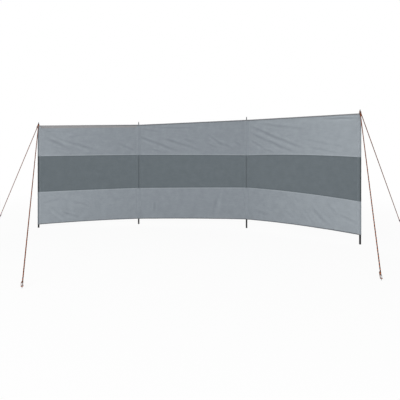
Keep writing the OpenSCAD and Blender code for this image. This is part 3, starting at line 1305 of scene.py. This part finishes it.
@dataclass
class PoleSleeve:
    """A sewn cloth sleeve over one pole, in the colours of the bands that it joins.

    Attributes:
        number: Number of the pole from the left.
        bays: All bays.
        look: How its cloth looks.
        reach: Distance of its seams from the pole's axis.
        outer: Radius round the pole and half thickness at the seam of its outside.
        inner: The same of its inside.
        hole_r: Radius of the hole in its cap.
        cap: Thickness of the cap.
        cap_edge: Height over which the wall rounds into the cap.
        row_step: Height of its rows.
        flap_steps: Points along a flap.
        arc_steps: Steps along an arc.
        arc_edge: Distance past the outside's radius at which a flap is clear of the pole.
        ripple: Height of the waves of its slack.
        wave_period: Their period up the wall.
        wave_lobes: How many of them go round the wall.
        wave_twist: Radians by which they turn for each metre up.
        free_reach: Distance from a seam at which the cloth is free to wave.
    """

    number: int
    bays: Sequence[Bay]
    look: SleeveLook
    reach: float = 0.032
    outer: tuple[float, float] = (0.0127, 0.0014)
    inner: tuple[float, float] = (0.0116, 0.0005)
    hole_r: float = 0.0068
    cap: float = 0.0036
    cap_edge: float = 0.001
    row_step: float = 0.012
    flap_steps: int = 6
    arc_steps: int = 16
    arc_edge: float = 0.003
    ripple: float = 0.0005
    wave_period: float = 0.093
    wave_lobes: int = 3
    wave_twist: float = 9.0
    free_reach: float = 0.012

    def sides(self) -> list[float]:
        """Returns the directions in plan in which cloth leaves the pole, to the right first."""
        turns = [(b.number, math.atan2(b.along[1], b.along[0])) for b in self.bays]
        right = [turn for number, turn in turns if number == self.number]
        return right + [turn + math.pi for number, turn in turns if number == self.number - 1]

    def outline(self, wall: tuple[float, float]) -> Array:
        """Draws a sleeve wall in plan about the pole's axis.

        On each side where cloth leaves, two straight flaps run from the seam to where they touch a
        circle round the pole, and an arc of that circle joins them to the next side.

        Args:
            wall: The circle's radius, and half the thickness at the seam.

        Returns:
            Closed outline as complex numbers, counterclockwise.
        """
        radius, half = wall
        sides = self.sides()
        seam = complex(self.reach, half)
        touch = math.atan2(half, self.reach) + math.acos(radius / abs(seam))
        following = sides[1:] + [sides[0] + 2 * math.pi]
        flap = np.linspace(0, 1, self.flap_steps, endpoint=False)
        outline = []
        for side, after in zip(sides, following):
            turn, turn_after = np.exp(1j * side), np.exp(1j * after)
            arc = radius * np.exp(1j * np.linspace(side + touch, after - touch, self.arc_steps + 1))
            leave, arrive = seam * turn, seam.conjugate() * turn_after
            outline += [leave + (arc[0] - leave) * flap, arc, (arrive + (arc[-1] - arrive) * flap)[::-1]]
        return np.concatenate(outline)

    def levels(self) -> tuple[Array, Array]:
        """Lists the heights of the wall's rows with the zone that starts at each.

        Returns:
            Row heights from the bottom, and the zones of the rows between them, from 0 for the lower
            hem over the three bands to 4 for the top hem.
        """
        if self.number <= len(self.bays):
            bay, end = self.bays[self.number - 1], "left"
        else:
            bay, end = self.bays[-1], "right"
        strips = ("bottom_hem", "lower_band", "middle_band", "upper_band")
        hem, low, middle, high = [bay.edges(f"{strip}_{bay.number}") for strip in strips]
        lines = [getattr(e, end) for e in (hem[0], hem[1], low[1], middle[1], high[1])]
        lines.append(getattr(bay.top, end))
        heights, zones = [], []
        for k, (low_z, high_z) in enumerate(zip(lines[:-1], lines[1:])):
            steps = max(2, int(round((high_z - low_z) / self.row_step)))
            heights.append(np.linspace(low_z, high_z, steps, endpoint=False))
            zones.append(np.full(steps, k))
        return np.concatenate([*heights, [lines[-1] - self.cap_edge]]), np.concatenate(zones)

    def light_marks(self, cloth: str) -> float:
        """Gives the painted light and shade of a cloth at the pole, as the mean of the bays that meet
        there.

        Args:
            cloth: Name of the cloth's field in PaintedLight.

        Returns:
            The tone mark.
        """
        near = [b for b in self.bays if self.number - b.number in (0, 1)]
        meets = [getattr(b.painted_light, cloth)[self.number - b.number] for b in near]
        return sum(meets) / len(meets)

    def near(self, outline: Array) -> Array:
        """Marks from 0 on the flaps to 1 on the arcs on the pole, by the distance from its axis."""
        return smooth_step(self.outer[0] + self.arc_edge, self.outer[0], np.abs(outline))

    def tight(self, outline: Array) -> Array:
        """Marks where the cloth over the pole is drawn darker, partly the pole showing through and partly
        painted shade: on the arcs, and at an end pole on its outer half.

        Args:
            outline: The outer wall in plan.

        Returns:
            Marks from 0 to 1 along the outline.
        """
        if len(self.sides()) > 1:
            return self.near(outline)
        outward = -(outline * np.exp(-1j * self.sides()[0])).real
        return self.near(outline) * smooth_step(-0.003, 0.002, outward + self.look.rim)

    def build(self) -> bpy.types.Object:
        """Builds the sleeve as one closed shell: up the outside, in over the cap, and down the inside.

        The outside's rows stand off by ripple times a product of sines along the height and round the
        wall, which gives the slack of cloth round a pole.

        Returns:
            The sleeve's piece.
        """
        low_box, high_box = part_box(f"pole_{self.number}")
        axis = complex((low_box.x + high_box.x) / 2, (low_box.y + high_box.y) / 2)
        outer, inner = self.outline(self.outer), self.outline(self.inner)
        z, zones = self.levels()
        top = z[-1] + self.cap_edge
        away = (outer - inner) / np.abs(outer - inner)
        round_share = np.linspace(0, 2 * np.pi, len(outer), endpoint=False)
        wave = np.sin(2 * np.pi * z / self.wave_period + self.number)[:, None]
        wave = wave * np.sin(self.wave_lobes * round_share + self.wave_twist * z[:, None])
        free = smooth_step(self.reach, self.reach - self.free_reach, np.abs(outer))
        wall = outer + away * self.ripple * wave * free
        hole = self.hole_r * outer / np.abs(outer)
        inside = np.linspace(top - self.cap, z[0], 8)
        # The cap starts a little way in from the wall, which rounds the edge
        over = [outer * 0.97, hole, hole]
        plan = np.concatenate([wall, over, np.tile(inner, (len(inside), 1))]) + axis
        height = np.concatenate([z, [top, top, top - self.cap], inside])
        points = np.stack(np.broadcast_arrays(plan.real, plan.imag, height[:, None]), axis=-1)
        ids = np.arange(plan.size).reshape(plan.shape)
        zones = np.concatenate([zones, np.full(len(height) - len(zones), 4)])
        zones[-len(inside):] = 3
        # Darker cloth over the pole by band: partly the pole showing through, partly painted shade
        show_and_shade = np.array([0.0, *self.look.pole_show_and_shade, 0.0])[zones]
        # Painted light and shade of each band at this pole, from the bays that meet here
        light, dark, hem = [self.light_marks(cloth) for cloth in ("light", "dark", "hem")]
        pale = np.array([0.0, light + self.light_marks("spray"), dark, light, hem])[zones]
        girth = np.concatenate([[0.0], np.cumsum(np.abs(np.diff(outer)))])
        uv = np.stack(np.broadcast_arrays(girth[None, :], height[:, None]), axis=-1)
        shell = Surface(
            points=points.reshape(-1, 3), quads=grid_quads(ids, True, True),
            uv=uv.reshape(-1, 2), finish=np.repeat(np.array([2, 0, 1, 0, 2])[zones], len(outer)),
            tight=(show_and_shade[:, None] * self.tight(outer)).ravel(),
            # Painted highlight on the flaps beside the pole, which offsets their shade
            crease=(pale[:, None] + self.look.flap_highlight * (1 - self.near(outer))).ravel(),
        )
        finishes = [LIGHT_CLOTH, DARK_CLOTH, HEM_TAPE]
        piece = make_piece(f"sleeve_{self.number}", [shell], finishes)
        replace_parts(piece, f"pole_sleeve_{self.number}")
        return piece


@dataclass
class GuyLine:
    """A laid line from a pole's pin to a peg, with a whipped eye at each end.

    Attributes:
        side: Which of the four lines, as its solid's name says.
        pole: Number of its pole.
        cord_d: The line's thickness.
        loop_d: Thickness of the solid's loops.
        pin_r: Radius of the pin.
        peg_r: Radius of the peg's wire.
        clearance: Gap between a loop and what it lies on.
        lay: Length of the line in which a strand turns once.
        point_step: Length from point to point.
        strand_sides: Sides of a strand.
        strand_share: A strand's share of the line's thickness.
        fuller: How much of the line's thickness it gains on the straight run.
        ring_share: How far from the line's middle the strands' middles lie, as a share of its radius.
        eye_share: The spliced loop's share of the line's thickness.
        eye_end: Distance from a loop's middle at which it has closed.
        tail_end: Distance from a loop's middle at which the tail ends.
        tail_share: The tail's share of the line's thickness at its end.
        lead_end: Distance past the tail's end at which the straight run starts.
        bend: Length over which the line bends down from a level loop.
        whip_length: Length of a whipping.
        whip_turns: Turns of twine that show on it.
    """

    side: str
    pole: int
    cord_d: float = 0.010
    loop_d: float = 0.010
    pin_r: float = 0.0060
    peg_r: float = 0.0035
    clearance: float = 0.0003
    lay: float = 0.030
    point_step: float = 0.0030
    strand_sides: int = 7
    strand_share: float = 0.51
    fuller: float = 0.05
    ring_share: float = 0.49
    eye_share: float = 0.65
    eye_end: float = 0.030
    tail_end: float = 0.044
    tail_share: float = 0.3
    lead_end: float = 0.02
    bend: float = 0.0025
    whip_length: float = 0.012
    whip_turns: int = 7

    def ends(self) -> tuple[Array, Array]:
        """Finds the middles of the two loops: on the pin's axis, and on the peg's.

        The spliced loop is thinner than its solid, so it lies lower on the pin by half of what it has
        lost, and by what the loop under it has lost.

        Returns:
            The pin loop's and the peg loop's middle.
        """
        low, high = [np.array(c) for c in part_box(f"guy_line_{self.side}")]
        pin = np.add(*[np.array(c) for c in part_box(f"pole_{self.pole}")]) / 2
        # The upper one of two loops reaches about two thicknesses above the eyelet
        below = int((high[2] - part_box(f"eyelet_{self.pole}")[1].z) / self.loop_d > 1.8)
        pin[2] = high[2] - self.loop_d / 2 - self.loop_d * (1 - self.eye_share) * (0.5 + below)
        run = np.where(np.abs(low[:2] - pin[:2]) > np.abs(high[:2] - pin[:2]), low[:2], high[:2]) - pin[:2]
        margin = self.peg_r + self.clearance + self.loop_d
        peg = np.append(pin[:2] + run - np.sign(run) * margin, low[2] + self.loop_d / 2)
        return pin, peg

    def tail_share_at(self, reach: Array) -> Array:
        """Gives the tapered tail's share of the line's width at distances from the loop's middle."""
        tapered = smooth_step(self.eye_end, self.tail_end, reach)
        return self.eye_share + (self.tail_share - self.eye_share) * tapered

    def eye(self, middle: Array, away: Array, fall: float, radius: float) -> Array:
        """Draws the line's end round a pin or peg, from the tail to where it joins the straight run.

        The ring is level. Each leg leaves it at 60 degrees from the run and closes in on the run, the
        tail to its left, and drops by fall times a softened ramp of its distance past the ring.

        Args:
            middle: Middle of the loop.
            away: Level direction of the run.
            fall: Drop of the run per metre of level distance.
            radius: Radius of the loop's centreline.

        Returns:
            Points along the centreline, each with the share of the line's full width there.
        """
        turn = np.radians(np.linspace(60, 300, 34))
        ring = radius * np.stack([np.cos(turn), np.sin(turn)], axis=-1)
        back = np.linspace(self.tail_end, ring[0, 0], 40)[:-1]
        beside = self.cord_d / 2 * (1 + self.tail_share_at(back))
        close = smooth_step(self.eye_end, ring[0, 0], back)
        tail = np.stack([back, beside + (ring[0, 1] - beside) * close], axis=-1)
        reach = np.linspace(ring[-1, 0], self.tail_end + self.lead_end, 40)[1:]
        lead = np.stack([reach, ring[-1, 1] * smooth_step(self.eye_end, ring[-1, 0], reach)], axis=-1)
        full = self.eye_share + (1 - self.eye_share) * smooth_step(ring[-1, 0], self.eye_end, reach)
        share = np.concatenate([self.tail_share_at(back), np.full(len(ring), self.eye_share), full])
        flat = np.concatenate([tail, ring, lead])
        drop = fall * self.bend * np.logaddexp(0, (flat[:, 0] - radius) / self.bend)
        across = np.array([-away[1], away[0]])
        level = middle[:2] + flat[:, :1] * away + flat[:, 1:] * across
        return np.column_stack([level, middle[2] - drop, share])

    def centreline(self) -> tuple[Array, Array, list[Surface]]:
        """Joins both eyes with the straight run, at even steps, and whips both throats.

        Returns:
            The centreline's points, the share of the line's width at each, and the whippings.
        """
        pin, peg = self.ends()
        level = peg[:2] - pin[:2]
        distance = float(np.linalg.norm(level))
        away = level / distance
        half = self.cord_d / 2 * self.eye_share + self.clearance
        fall = (pin[2] - peg[2]) / (distance - self.pin_r - self.peg_r - 2 * half)
        upper = self.eye(pin, away, fall, self.pin_r + half)
        lower = self.eye(peg, -away, -fall, self.peg_r + half)[::-1]
        rough = np.concatenate([upper, lower])
        steps = np.linalg.norm(np.diff(rough[:, :3], axis=0), axis=1)
        run = np.concatenate([[0.0], np.cumsum(steps)])
        even = np.linspace(0, run[-1], int(run[-1] / self.point_step))
        line = np.stack([np.interp(even, run, rough[:, k]) for k in range(4)], axis=-1)
        out = self.eye_end + self.whip_length / 2
        whips = []
        for middle, way, loop in ((pin, 1.0, self.pin_r + half), (peg, -1.0, self.peg_r + half)):
            place = middle + np.append(way * away * out, -way * fall * (out - loop))
            whips.append(self.whipping(place, way * np.append(away, -fall)))
        return line[:, :3], line[:, 3], whips

    def strands(self, points: Array, share: Array) -> list[Surface]:
        """Twists three round strands about the centreline.

        A strand's middle circles the centreline once in each lay, and its section is a circle across
        the line. On the straight run the strands are fuller, so that the hollows between them don't make
        the line thinner than its solid. The section's axes come from the upright, which the line never
        runs along.

        Args:
            points: The centreline at even steps.
            share: The share of the line's full width at each point.

        Returns:
            One closed tube for each strand, all but the first marked dark.
        """
        tangent = np.gradient(points, axis=0)
        tangent = tangent / np.linalg.norm(tangent, axis=1, keepdims=True)
        normal = UP - tangent[:, 2:] * tangent
        normal = normal / np.linalg.norm(normal, axis=1, keepdims=True)
        other = np.cross(tangent, normal)
        run = self.point_step * np.arange(len(points))
        strand_share = self.strand_share + self.fuller * smooth_step(0.8, 1.0, share)
        strand_r = self.cord_d / 2 * (strand_share * share)[:, None]
        centre_r = self.cord_d / 2 * self.ring_share * share[:, None]
        turn = np.linspace(0, 2 * np.pi, self.strand_sides, endpoint=False)
        tubes = []
        for k in range(3):
            twist = 2 * np.pi * (run / self.lay + k / 3)
            middle = points + centre_r * (np.cos(twist)[:, None] * normal + np.sin(twist)[:, None] * other)
            spin = twist[:, None] + turn
            rings = middle[:, None] + strand_r[..., None] * (
                np.cos(spin)[..., None] * normal[:, None] + np.sin(spin)[..., None] * other[:, None]
            )
            uv = np.stack(np.broadcast_arrays(run[:, None], turn * self.cord_d / 4), axis=-1)
            tips = (middle[0] - tangent[0] * 0.001, middle[-1] + tangent[-1] * 0.001)
            tube = capped_tube(rings, uv, tips)
            tube.tracer = np.full(len(tube.points), 0.0 if k == 0 else 1.0)
            tubes.append(tube)
        return tubes

    def whipping(self, middle: Array, run: Array) -> Surface:
        """Winds twine round the line and its tail as an oval sleeve with a ridge for each turn.

        The oval is a little wider than line and tail and a little taller than the line. Each turn of
        twine raises it by a twentieth, and it draws in at its ends.

        Args:
            middle: Middle of the winding on the line's own middle.
            run: Direction in which the line leaves the eye, with the tail to its left.

        Returns:
            The winding's closed surface, in the second finish.
        """
        direction = run / np.linalg.norm(run)
        level = np.array([-direction[1], direction[0], 0.0])
        level = level / np.linalg.norm(level)
        upright = np.cross(direction, level)
        x = np.linspace(-0.5, 0.5, 41)
        turn = np.linspace(0, 2 * np.pi, 18, endpoint=False)
        ridge = 1 + 0.05 * np.abs(np.sin(np.pi * self.whip_turns * x[:, None] + turn / 2))
        taper = 1 - 0.12 * smooth_step(0.4, 0.5, np.abs(x))[:, None]
        tail = float(self.tail_share_at(np.array(self.eye_end + self.whip_length / 2)))
        wide, tall = self.cord_d / 2 * (1 + tail) * 1.04, self.cord_d * 0.54
        rings = (
            middle + level * self.cord_d / 2 * tail + (x * self.whip_length)[:, None, None] * direction
            + (wide * ridge * taper * np.cos(turn))[..., None] * level
            + (tall * ridge * taper * np.sin(turn))[..., None] * upright
        )
        uv = np.stack(np.broadcast_arrays((x * self.whip_length)[:, None], turn * wide), axis=-1)
        winding = capped_tube(rings, uv)
        winding.finish = np.ones(len(winding.quads))
        return winding

    def build(self) -> bpy.types.Object:
        """Builds the line with both whippings as one piece.

        Returns:
            The guy line's piece.
        """
        points, share, whips = self.centreline()
        parts = self.strands(points, share) + whips
        piece = make_piece(f"guy_{self.side}", parts, [GUY_CORD, WHIPPING])
        LOG.info("guy_%s: centreline %.3f m", self.side, self.point_step * len(points))
        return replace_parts(piece, f"guy_line_{self.side}")


@dataclass
class Hardware:
    """The solids that keep their shape and only get a finish."""

    nodes: dict[str, bpy.types.Object]

    def finishes(self) -> dict[str, Finish]:
        """Returns the finish of each family of solids by the start of its name."""
        return {
            "pole_pin_": BLACK_MOULDING,
            "eyelet_": EYELET_METAL,
            "peg_": PEG_WIRE,
            "pole_": BLACK_TUBE,
        }

    def build(self) -> None:
        """Puts each family's finish into its solids' material slots."""
        for name, node in self.nodes.items():
            family = next((start for start in self.finishes() if name.startswith(start)), None)
            if family is None or name.startswith("pole_sleeve_"):
                continue
            finish = self.finishes()[family]
            node.data.materials.clear()
            node.data.materials.append(finish.material())
            LOG.info("%s: %s", name, finish.name)


@dataclass(frozen=True)
class Lamp:
    """A square soft lamp that the camera doesn't see.

    Attributes:
        name: Its name.
        place: Where it hangs.
        aim: The point that it faces.
        size: Length of its side.
        watts: Its power.
    """

    name: str
    place: tuple[float, float, float]
    aim: tuple[float, float, float]
    size: float
    watts: float

    def build(self) -> None:
        """Hangs the lamp, turned so that its face looks at the point."""
        data = bpy.data.lights.new(self.name, "AREA")
        data.size = self.size
        data.energy = self.watts
        lamp = bpy.data.objects.new(self.name, data)
        lamp.location = self.place
        away = np.subtract(self.place, self.aim)
        flat = math.hypot(away[0], away[1])
        lamp.rotation_euler = (math.atan2(flat, away[2]), 0.0, math.atan2(away[0], -away[1]))
        lamp.visible_camera = False
        bpy.context.scene.collection.objects.link(lamp)


LAMPS = (
    Lamp("key_left", (-2.6, -6.0, 1.9), (0.2, 0.0, 0.7), size=2.4, watts=132.0),
    Lamp("key_right", (2.2, -6.0, 1.9), (1.6, -0.4, 0.7), size=2.4, watts=54.0),
    Lamp("back_fill", (1.2, 6.0, 3.2), (0.6, -0.3, 0.7), size=3.0, watts=110.0),
)


@dataclass
class Studio:
    """White floor and world, soft lamps and the camera at the front.

    Attributes:
        camera_place: Where the camera stands.
        lens_mm: Its focal length.
        shift_up: How far its frame is shifted up, as a share of the frame's width.
        floor_half: Half the floor's width.
        floor_depth: How far the floor lies under the ground line.
        ambient: Strength of the world's light.
    """

    camera_place: tuple[float, float, float] = (0.913, -5.271, 1.028)
    lens_mm: float = 31.85
    shift_up: float = -0.1127
    floor_half: float = 60.0
    floor_depth: float = 0.0005
    ambient: float = 0.5

    def camera(self) -> None:
        """Sets up a level camera that looks along +Y, shifted to frame the windbreak high."""
        data = bpy.data.cameras.new("camera")
        data.lens = self.lens_mm
        data.sensor_width = 36.0
        data.shift_y = self.shift_up
        data.clip_end = 200.0
        camera = bpy.data.objects.new("camera", data)
        camera.location = self.camera_place
        camera.rotation_euler = (math.pi / 2, 0.0, 0.0)
        bpy.context.scene.collection.objects.link(camera)
        bpy.context.scene.camera = camera

    def world(self) -> None:
        """Makes a world that is white to the camera and in reflections, and a plain grey as light."""
        world = bpy.data.worlds.new("studio")
        world.use_nodes = True
        tree = world.node_tree
        tree.nodes.clear()
        light, white = [
            add_node(
                tree, "ShaderNodeBackground", values={"Color": (1.0, 1.0, 1.0, 1.0), "Strength": strength}
            ).outputs["Background"]
            for strength in (self.ambient, 1.0)
        ]
        both = add_node(tree, "ShaderNodeMixShader", {0: seen_rays(tree), 1: light, 2: white})
        add_node(tree, "ShaderNodeOutputWorld", {"Surface": both.outputs["Shader"]})
        bpy.context.scene.world = world

    def floor(self) -> None:
        """Lays the paper floor as a flat grid just under the ground line."""
        line = np.linspace(-self.floor_half, self.floor_half, 9)
        x, y = np.meshgrid(line, line)
        points = np.stack([x, y, np.full_like(x, -self.floor_depth)], axis=-1).reshape(-1, 3)
        mesh = bpy.data.meshes.new("floor")
        mesh.from_pydata(points.tolist(), [], grid_quads(np.arange(x.size).reshape(x.shape)).tolist())
        mesh.materials.append(PAPER.material())
        floor = bpy.data.objects.new("floor", mesh)
        bpy.context.scene.collection.objects.link(floor)

    def build(self) -> None:
        """Builds the studio and sets the plain view transform."""
        bpy.context.scene.view_settings.view_transform = "Standard"
        self.camera()
        self.world()
        self.floor()
        for lamp in LAMPS:
            lamp.build()


# Tension folds of each bay: the upper band's first, then the lower band's
BAY_FOLDS: dict[int, tuple[Fold, ...]] = {
    1: (
        Fold((0.10, 1.22), (0.46, 1.04), -0.0030, 0.029),
        Fold((0.14, 1.24), (0.56, 1.07), 0.0018, 0.021),
        Fold((0.24, 1.06), (0.42, 1.00), 0.0018, 0.021),
        Fold((0.37, 1.17), (0.80, 1.03), -0.0030, 0.029),
        Fold((0.10, 1.32), (0.38, 1.30), -0.0018, 0.018),
        Fold((0.40, 1.23), (0.56, 1.25), -0.0016, 0.023),
        Fold((1.10, 1.13), (1.34, 1.01), -0.0026, 0.026),
        Fold((0.34, 0.15), (0.55, 0.07), -0.0034, 0.023),
        Fold((0.15, 0.20), (0.33, 0.05), 0.0030, 0.030),
        Fold((0.06, 0.30), (0.30, 0.36), -0.0014, 0.028),
        Fold((0.48, 0.30), (0.72, 0.21), -0.0020, 0.023),
    ),
    2: (
        Fold((0.01, 1.22), (0.62, 0.98), -0.0038, 0.027),
        Fold((0.38, 1.18), (0.92, 1.00), -0.0036, 0.027),
        Fold((0.20, 1.03), (0.37, 0.98), -0.0028, 0.023),
        Fold((0.06, 1.33), (0.36, 1.28), -0.0018, 0.021),
        Fold((0.34, 1.34), (0.82, 1.32), -0.0030, 0.018),
        Fold((0.69, 1.16), (0.84, 1.12), -0.0028, 0.026),
        Fold((1.05, 1.21), (1.27, 1.04), -0.0024, 0.023),
        Fold((1.03, 1.09), (1.17, 1.02), -0.0024, 0.021),
        Fold((1.18, 1.10), (1.42, 1.00), -0.0032, 0.026),
        Fold((1.41, 1.10), (1.53, 1.04), -0.0016, 0.021),
        Fold((1.17, 0.30), (1.11, 0.06), -0.0014, 0.028),
        Fold((1.25, 0.42), (1.17, 0.03), 0.0014, 0.036),
        Fold((0.25, 0.26), (0.23, 0.08), -0.0026, 0.028),
    ),
    3: (
        Fold((0.08, 1.30), (0.88, 0.98), -0.0042, 0.027, bow=-0.010),
        Fold((0.12, 1.19), (0.74, 0.93), -0.0037, 0.027, bow=-0.004),
        Fold((0.07, 1.11), (0.26, 1.00), -0.0026, 0.023),
        Fold((0.26, 0.98), (0.42, 0.95), -0.0022, 0.021),
        Fold((0.18, 1.34), (0.86, 1.24), -0.0026, 0.026),
        Fold((0.90, 1.01), (1.26, 0.94), -0.0022, 0.023),
        Fold((0.85, 1.11), (1.30, 1.02), -0.0018, 0.023),
        Fold((1.47, 1.35), (1.08, 1.36), -0.0056, 0.017),
        Fold((0.92, 0.28), (1.19, 0.04), -0.0027, 0.029, bow=-0.020),
        Fold((0.83, 0.23), (0.97, 0.05), -0.0022, 0.023, bow=-0.010),
        Fold((0.70, 0.37), (0.77, 0.29), -0.0020, 0.026),
        Fold((0.56, 0.19), (0.69, 0.10), -0.0017, 0.029),
        Fold((1.12, 0.32), (1.25, 0.19), -0.0018, 0.029),
        Fold((1.28, 0.21), (1.48, 0.11), -0.0024, 0.023),
        Fold((0.13, 0.14), (0.36, 0.10), -0.0018, 0.029),
    ),
}
# Painted light and shade of each bay's cloth
BAY_PAINTED_LIGHT = {
    1: PaintedLight(light=(0.38, 0.05, -0.08), dark=(-0.2, 0.1), hem=(0.9, 0.1, 0.1), spray=(0.22, 0.2)),
    2: PaintedLight(light=(0.0, 0.0), dark=(-0.05, 0.1), hem=(0.0, 0.1), spray=(0.1, 0.15, -0.1)),
    3: PaintedLight(
        light=(0.24, 0.84), dark=(0.25, 0.1), hem=(0.15, 0.4), spray=(-0.05, 0.08), under_hem_light=(0.14, 0.14)
    ),
}
# How much further than its solid each bay's top hem is turned down
TURNED_HEM = {1: 0.024, 2: 0.0, 3: 0.0}
# How each pole's sleeve looks, from the left, with its painted shade over the pole and painted highlight on
# the flaps
SLEEVE_LOOKS = {
    1: SleeveLook((1.0, 1.0, 1.0), flap_highlight=0.5, rim=0.006),
    2: SleeveLook((0.0, 0.36, 0.1), flap_highlight=0.0),
    3: SleeveLook((0.0, 0.4, 0.1), flap_highlight=0.0),
    4: SleeveLook((0.5, 0.9, 0.45), flap_highlight=0.4, rim=-0.003),
}
# The pole that each guy line holds
GUY_POLES = {"left_front": 1, "left_back": 1, "right_front": 4, "right_back": 4}


def main() -> None:
    """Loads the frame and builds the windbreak's classes in order."""
    logging.basicConfig(level=logging.INFO, format="%(name)s %(message)s")
    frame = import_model()
    nodes = frame["nodes"]
    Studio().build()
    bays = [
        Bay(n, nodes, folds, BAY_PAINTED_LIGHT[n], ripple_phase=1.7 * n, cut_at=2.3 * n, turned=TURNED_HEM[n])
        for n, folds in BAY_FOLDS.items()
    ]
    for bay in bays:
        bay.build()
    for number, look in SLEEVE_LOOKS.items():
        PoleSleeve(number, bays, look).build()
    for side, pole in GUY_POLES.items():
        GuyLine(side, pole).build()
    Hardware(nodes).build()


if __name__ == "__main__":
    main()
